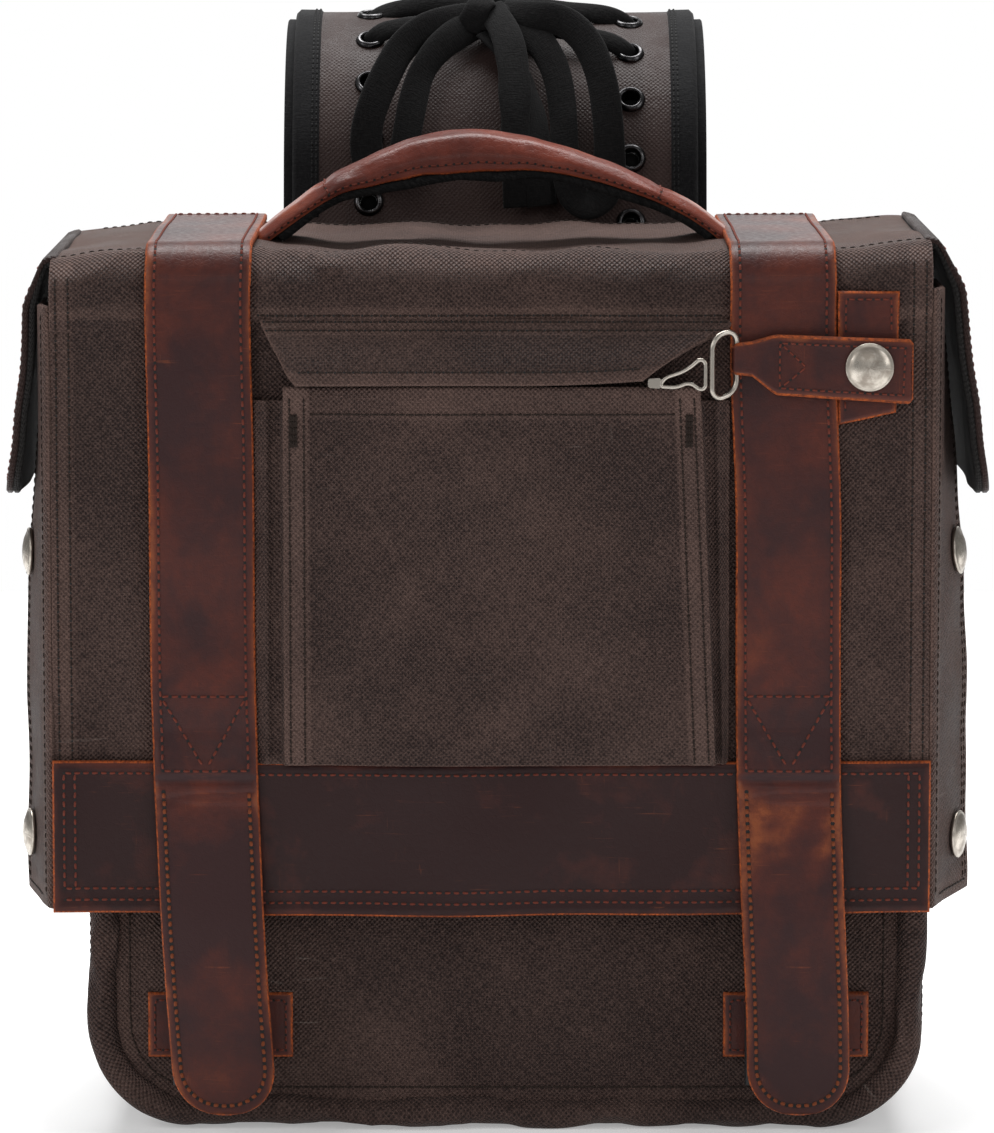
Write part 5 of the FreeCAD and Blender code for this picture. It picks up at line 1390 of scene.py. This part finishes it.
def front_face(a, b):
    near = np.minimum(np.minimum(a - BODY_LEFT, BODY_RIGHT - a) - 11, b + DROP - 11)
    puff = 1.8 * smooth(near, 2, 26) + 0.9 * waves(stack(a, b, 0 * a), 62, 121) * smooth(near, 2, 14)
    return stack(a, -66.0 - puff, b)


front = slab_mesh("body_front_cloth", front_face, panel_rows(9, 308), inside_limits(9), 110, 2.6,
                  wear_and_painted_light=lambda a, b, near, face: 0.1 * np.clip(waves(face, 50, 122), 0, 1) + 0.15 * (1 - smooth(near, 4, 8)))
finish_piece(front, "waxed_canvas", "body", CANVAS_SET, ("body_front_panel",))

GUSSET = outline(0.3)
GUSSET_ROWS = np.concatenate([spread(0, 268, 4), spread(272, 340, 2.4), spread(344, GUSSET.length - 344, 5.0),
                              spread(GUSSET.length - 340, GUSSET.length - 272, 2.4),
                              spread(GUSSET.length - 268, GUSSET.length, 4)])


def gusset_face(a, b):
    x, z = GUSSET.at(b)
    x_on, z_on = GUSSET.at(b + 1)
    x_off, z_off = GUSSET.at(b - 1)
    length = np.maximum(np.hypot(x_on - x_off, z_on - z_off), 1e-6)
    out_x, out_z = (z_on - z_off) / length, -(x_on - x_off) / length
    middle = smooth(a, -56, -30) * (1 - smooth(a, 38, 63))
    side = smooth(z, 8, 54)
    puff = (0.9 * waves(stack(x * 0.2, a, z), 64, 131) * side + 0.2) * middle
    return stack(x - out_x * puff * -1, a, z + out_z * puff)


gusset = slab_mesh("body_gusset_cloth", gusset_face, GUSSET_ROWS,
                   band_of(-57, 64), 34, 2.9, wear_and_painted_light=lambda a, b, near, face: 0.25 * (1 - smooth(near, 3, 7)))
finish_piece(gusset, "waxed_canvas", "body", CANVAS_SET, ("body_gusset",))
seam_b = spread(0, GUSSET.length, 12)
gusset_thread = stitch_mesh("body_seams", above(gusset_face, 0.05),
                            [[(-52.5, b) for b in seam_b], [(60, b) for b in seam_b]], pitch=3.4, radius=0.38)
front_seam = outline(15.5, 300)
seam_d = spread(0, front_seam.length, 8)
front_thread = stitch_mesh("body_front_seams", above(front_face, 0.05), [list(zip(*front_seam.at(seam_d)))],
                           pitch=3.2, radius=0.38)
finish_piece(joined("body_seams", [gusset_thread, front_thread]), "waxed_canvas", "body", (THREAD_CLOTH, PAINTED_HOLE_SHADE))


def outline_frame(path, count):
    """Spine points' (x, z) and outward directions at even distances along an outline."""
    marks = np.linspace(0, path.length, count)
    x, z = path.at(marks)
    x_on, z_on = path.at(np.minimum(marks + 0.8, path.length))
    x_off, z_off = path.at(np.maximum(marks - 0.8, 0))
    length = np.hypot(x_on - x_off, z_on - z_off)
    return marks, x, z, (z_on - z_off) / length * 1.0, -(x_on - x_off) / length


def roll_tube(name, inset, depth_y, wide, deep, count, sides, wobble, seed):
    """Padded roll that follows the outline."""
    path = outline(inset, 308)
    marks, x, z, out_x, out_z = outline_frame(path, count)
    spine = np.stack([x, np.full(count, depth_y), z], -1)
    across = np.stack([-out_x, 0 * out_x, -out_z], -1) * -1
    up = np.broadcast_to(np.array([0.0, -1.0, 0.0]), spine.shape)
    angles = np.linspace(0, 2 * math.pi, sides, endpoint=False)
    swell = 1 + wobble * waves(stack(marks[:, None], angles[None, :] * 6, 0 * marks[:, None]), 26, seed)
    wide_by = np.sign(np.cos(angles)) * np.abs(np.cos(angles)) ** 0.8 * wide / 2
    deep_by = np.sign(np.sin(angles)) * np.abs(np.sin(angles)) ** 0.8 * deep / 2
    section = np.stack([wide_by[None, :] * swell, deep_by[None, :] * swell], -1)
    return sweep_mesh(name, spine, across, up, section)


def simulated_roll():
    """The front roll as stuffed cloth: a coarse copy blown up by a cloth simulation with its seams held."""
    roll = roll_tube("body_roll", 6.3, -63.6, 11.6, 11.8, 260, 20, 0.05, 141)
    for face in roll.data.polygons:
        face.use_smooth = True
    start = millimetres(roll.data.vertices)
    held = roll.vertex_groups.new(name="held")
    sewn = [index for index, point in enumerate(start) if point[1] > -60.2]
    held.add(sewn, 1.0, "REPLACE")
    cloth = roll.modifiers.new("cloth", "CLOTH")
    cloth.settings.quality = 4
    cloth.settings.mass = 0.25
    cloth.settings.tension_stiffness = 12
    cloth.settings.compression_stiffness = 12
    cloth.settings.shear_stiffness = 6
    cloth.settings.bending_stiffness = 0.35
    cloth.settings.use_pressure = True
    cloth.settings.uniform_pressure_force = 4.0
    cloth.settings.shrink_min = -0.05
    cloth.settings.effector_weights.gravity = 0
    cloth.settings.vertex_group_mass = "held"
    cloth.collision_settings.use_collision = False
    cloth.point_cache.frame_start = 1
    cloth.point_cache.frame_end = 20
    scene = bpy.context.scene
    for number in range(1, 21):
        scene.frame_set(number)
    settled = bpy.data.meshes.new_from_object(roll.evaluated_get(bpy.context.evaluated_depsgraph_get()))
    end = millimetres(settled.vertices)
    bpy.data.meshes.remove(settled)
    scene.frame_set(1)
    roll.modifiers.clear()
    move = end - start
    size = np.linalg.norm(move, axis=1, keepdims=True)
    move = move * np.minimum(1, 1.3 / np.maximum(size, 1e-6))
    for vertex, point in zip(roll.data.vertices, metres(start + move)):
        vertex.co = point
    roll.vertex_groups.clear()
    return roll


roll = simulated_roll()
smoother = roll.modifiers.new("smooth", "SUBSURF")
smoother.levels = smoother.render_levels = 1
finish_piece(roll, "waxed_canvas", "body", (CANVAS,), ("body_front_roll",))


def back_face(a, b):
    return stack(a, 70.0 + 0.6 * waves(stack(a, b, 0 * a), 80, 151), b)


back = slab_mesh("body_back_cloth", back_face, panel_rows(3, 308), inside_limits(3), 90, 2.8, flip=True,
                 wear_and_painted_light=lambda a, b, near, face: 0.2 * (1 - smooth(near, 3, 7)))
finish_piece(back, "waxed_canvas", "body", CANVAS_SET, ("body_back_panel",))
piping = roll_tube("body_rear_cord", 2.7, 67.2, 5.2, 6.4, 240, 14, 0.02, 152)
finish_piece(piping, "black_binding", "body", (TAPE,), ("body_rear_piping",))


def rim_tube():
    """Binding folded over the mouth's edge, all the way round."""
    corners = [(5.75, 68.2), (BODY_RIGHT - 1.6, 68.2, 5), (BODY_RIGHT - 1.6, -64.4, 5), (BODY_LEFT + 1.6, -64.4, 5),
               (BODY_LEFT + 1.6, 68.2, 5), (5.75, 68.2)]
    path = Path(corners)
    marks = np.linspace(0, path.length, 300)
    x, y = path.at(marks)
    spine = np.stack([x, y, np.full(300, 310.6)], -1)
    tangent = np.gradient(spine, axis=0)
    tangent /= np.linalg.norm(tangent, axis=1, keepdims=True)
    up = np.broadcast_to(np.array([0.0, 0.0, 1.0]), spine.shape)
    across = np.cross(up, tangent)
    angles = np.linspace(0, 2 * math.pi, 16, endpoint=False)
    wide = np.sign(np.cos(angles)) * np.abs(np.cos(angles)) ** 0.7 * 2.3
    high = np.sign(np.sin(angles)) * np.abs(np.sin(angles)) ** 0.6 * 4.0
    swell = 1 + 0.05 * waves(stack(marks[:, None], angles[None, :] * 4, 0 * marks[:, None]), 20, 161)
    return sweep_mesh("body_rim_tape", spine, across, up, np.stack([wide * swell, high * swell], -1))


finish_piece(rim_tube(), "black_binding", "body", (TAPE,), ("body_rim_binding",))


def lining_pieces():
    """Thin lining bag: a strip round the sides and floor, and a front and a back sheet."""
    path = outline(4.6, 309)

    def around(a, b):
        x, z = path.at(b)
        x_on, z_on = path.at(b + 1)
        x_off, z_off = path.at(b - 1)
        length = np.maximum(np.hypot(x_on - x_off, z_on - z_off), 1e-6)
        loose = 0.5 + 0.9 * waves(stack(x, a, z), 58, 171)
        lift = 1.2 * (1 - smooth(z, -1, 6))
        return stack(x - (z_on - z_off) / length * -1 * 0 - np.sign(x - BODY_MID) * np.clip(loose, 0, 2) * smooth(z, 40, 60), a, z + lift)
    strip = slab_mesh("strip", around, spread(0, path.length, 4.0), band_of(-56, 64.2), 30, 0.8, flip=True)

    def front_sheet(a, b):
        return stack(a, -55.6 + np.clip(0.6 + 0.8 * waves(stack(a, b, 0 * a), 60, 172), 0, 2), b)

    def back_sheet(a, b):
        return stack(a, 64.2 - np.clip(0.6 + 0.8 * waves(stack(a, b, 0 * a), 60, 173), 0, 2), b)
    ahead = slab_mesh("ahead", front_sheet, panel_rows(5.8, 309), inside_limits(5.8), 60, 0.8, flip=True)
    behind = slab_mesh("behind", back_sheet, panel_rows(5.8, 309), inside_limits(5.8), 60, 0.8)
    return joined("body_lining_cloth", [strip, ahead, behind])


finish_piece(lining_pieces(), "lining_cloth", "body", (LINING,) * 3, ("body_lining",))

# ---------------------------------------------------------------- anchors, webbing and buckles

PATCHES = {"left": (-126.3, -73.0), "right": (85.5, 139.0)}
BUCKLE_MIDS = {"left": -100.0, "right": 109.6}
for side, sign, share in SIDES:
    low, high = PATCHES[side]
    middle = BUCKLE_MIDS[side]

    def patch_face(a, b):
        ridge = 1.1 * hump(a, middle, 16)
        edge = np.minimum(a - low, high - a)
        return stack(a, -69.6 - ridge - 0.3 * waves(stack(a, b, 0 * a), 22, 181) * smooth(edge, 0, 4), b)
    patch = slab_mesh(f"anchor_leather_{side}", patch_face, spread(21.5, 45.6, 1.6), band_of(low, high), 36, 3.2,
                      wear_and_painted_light=leather_wear(16, 182, 1.3, 0.1))
    finish_piece(patch, "oiled_leather", "body", LEATHER_SET, (f"anchor_patch_{side}",))
    lines = []
    for start, end in ((low + 2.6, middle - 15.5), (middle + 15.5, high - 2.6)):
        if end - start > 4:
            lines.append([(start, 24.2), (end, 24.2), (end, 42.8), (start, 42.8), (start, 24.2)])
    patch_thread = stitch_mesh(f"anchor_seams_{side}", above(patch_face, 0.02), lines, pitch=2.8, radius=0.42)
    finish_piece(patch_thread, "oiled_leather", "body", (THREAD, PAINTED_HOLE_SHADE))

strips = []
for side, sign, share in SIDES:
    middle = BUCKLE_MIDS[side]
    hang = Path([(-78.2, 15.2), (-76.4, 16.6, 1.5), (-69.2, 18.4, 3), (-67.8, 44)])
    strips.append(slab_mesh("strip", lambda a, b, hang=hang: stack(a, *hang.at(b)), spread(0, hang.length, 1.6),
                            band_of(middle - 12.4, middle + 12.4), 10, 1.5))
finish_piece(joined("anchor_tapes", strips), "webbing", "body", (WEBBING,) * 3, ("anchor_webbing",))
strips = []
for side, sign, share in SIDES:
    middle = BUCKLE_MIDS[side]
    strips.append(slab_mesh("strip", lambda a, b: stack(a, -83.9 + 0 * b + 0 * a, b), spread(61.2, 124.6, 3.0),
                            band_of(middle - 12.4, middle + 12.4), 10, 1.5))
finish_piece(joined("buckle_tapes", strips), "webbing", "lid", (WEBBING,) * 3, ("buckle_webbing",))


def dress(node, material):
    """A hard CAD node that shows as it is, with a material."""
    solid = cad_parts[node]
    solid.data.materials.clear()
    solid.data.materials.append(material)


for side, sign, share in SIDES:
    dress(f"buckle_socket_{side}", PLASTIC)
    dress(f"buckle_plug_{side}", PLASTIC)
dress("clip_ring", WIRE)
dress("wire_clip", WIRE)
dress("side_snap_studs", NICKEL)
dress("back_stiffener", BOARD)
dress("base_stiffener", BOARD)

# ---------------------------------------------------------------- floor, lights and camera


def ground():
    """Plain pale floor under the bag."""
    points = stack(*np.meshgrid([-1400.0, 1400.0], [-1400.0, 1400.0]), 0).reshape(-1, 3)
    floor = mesh_object("floor", points, [(0, 1, 3, 2)])
    floor.location.z = -0.0005 - DROP * MM
    paint = bpy.data.materials.new("floor")
    paint.use_nodes = True
    shader = paint.node_tree.nodes["Principled BSDF"]
    shader.inputs["Base Color"].default_value = (0.8, 0.8, 0.8, 1)
    shader.inputs["Roughness"].default_value = 0.9
    shader.inputs["Specular IOR Level"].default_value = 0.1
    shader.inputs["Emission Color"].default_value = (1, 1, 1, 1)
    shader.inputs["Emission Strength"].default_value = 0.32
    floor.data.materials.append(paint)
    return floor


ground()


def area_light(name, place, target, size, power, colour=(1, 1, 1)):
    lamp = bpy.data.lights.new(name, "AREA")
    lamp.shape = "RECTANGLE"
    lamp.size, lamp.size_y = size
    lamp.energy = power
    lamp.color = colour
    holder = bpy.data.objects.new(name, lamp)
    holder.visible_camera = False
    holder.location = place
    holder.rotation_euler = (Vector(target) - Vector(place)).to_track_quat("-Z", "Y").to_euler()
    bpy.context.scene.collection.objects.link(holder)


area_light("key_left", (-1.7, -1.3, 1.3), (0, 0, 0.2), (0.8, 1.5), 15)
area_light("key_right", (1.7, -1.2, 1.1), (0, 0, 0.2), (0.8, 1.5), 9)
area_light("top", (0, 0.6, 2.0), (0, 0, 0.25), (1.8, 0.9), 60)
area_light("behind", (0, 1.7, 0.75), (0, 0, 0.32), (2.6, 0.9), 8)
area_light("front", (0.1, -2.6, 1.2), (0, 0, 0.15), (1.2, 0.8), 6)


def studio_world():
    """White to the camera, and a softer pale light on the bag."""
    world = bpy.data.worlds.new("studio")
    world.use_nodes = True
    tree = world.node_tree
    soft = tree.nodes["Background"]
    soft.inputs["Color"].default_value = (1, 1, 1, 1)
    soft.inputs["Strength"].default_value = 0.24
    white = tree.nodes.new("ShaderNodeBackground")
    white.inputs["Color"].default_value = (1, 1, 1, 1)
    white.inputs["Strength"].default_value = 1.0
    either = tree.nodes.new("ShaderNodeMixShader")
    rays = tree.nodes.new("ShaderNodeLightPath")
    tree.links.new(rays.outputs["Is Camera Ray"], either.inputs[0])
    tree.links.new(soft.outputs[0], either.inputs[1])
    tree.links.new(white.outputs[0], either.inputs[2])
    tree.links.new(either.outputs[0], tree.nodes["World Output"].inputs["Surface"])
    return world


scene = bpy.context.scene
scene.world = studio_world()
scene.view_settings.view_transform = "Standard"

camera = bpy.data.cameras.new("camera")
camera.lens = 187.117
camera.sensor_width = 36
camera.clip_end = 30
viewer = bpy.data.objects.new("camera", camera)
viewer.location = (0.0022, -2.198, 0.491)
viewer.rotation_euler = (math.radians(90 - 7.524), 0, 0)
scene.collection.objects.link(viewer)
scene.camera = viewer

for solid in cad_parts.values():
    if not solid.data.materials:
        solid.data.materials.append(PLASTIC)
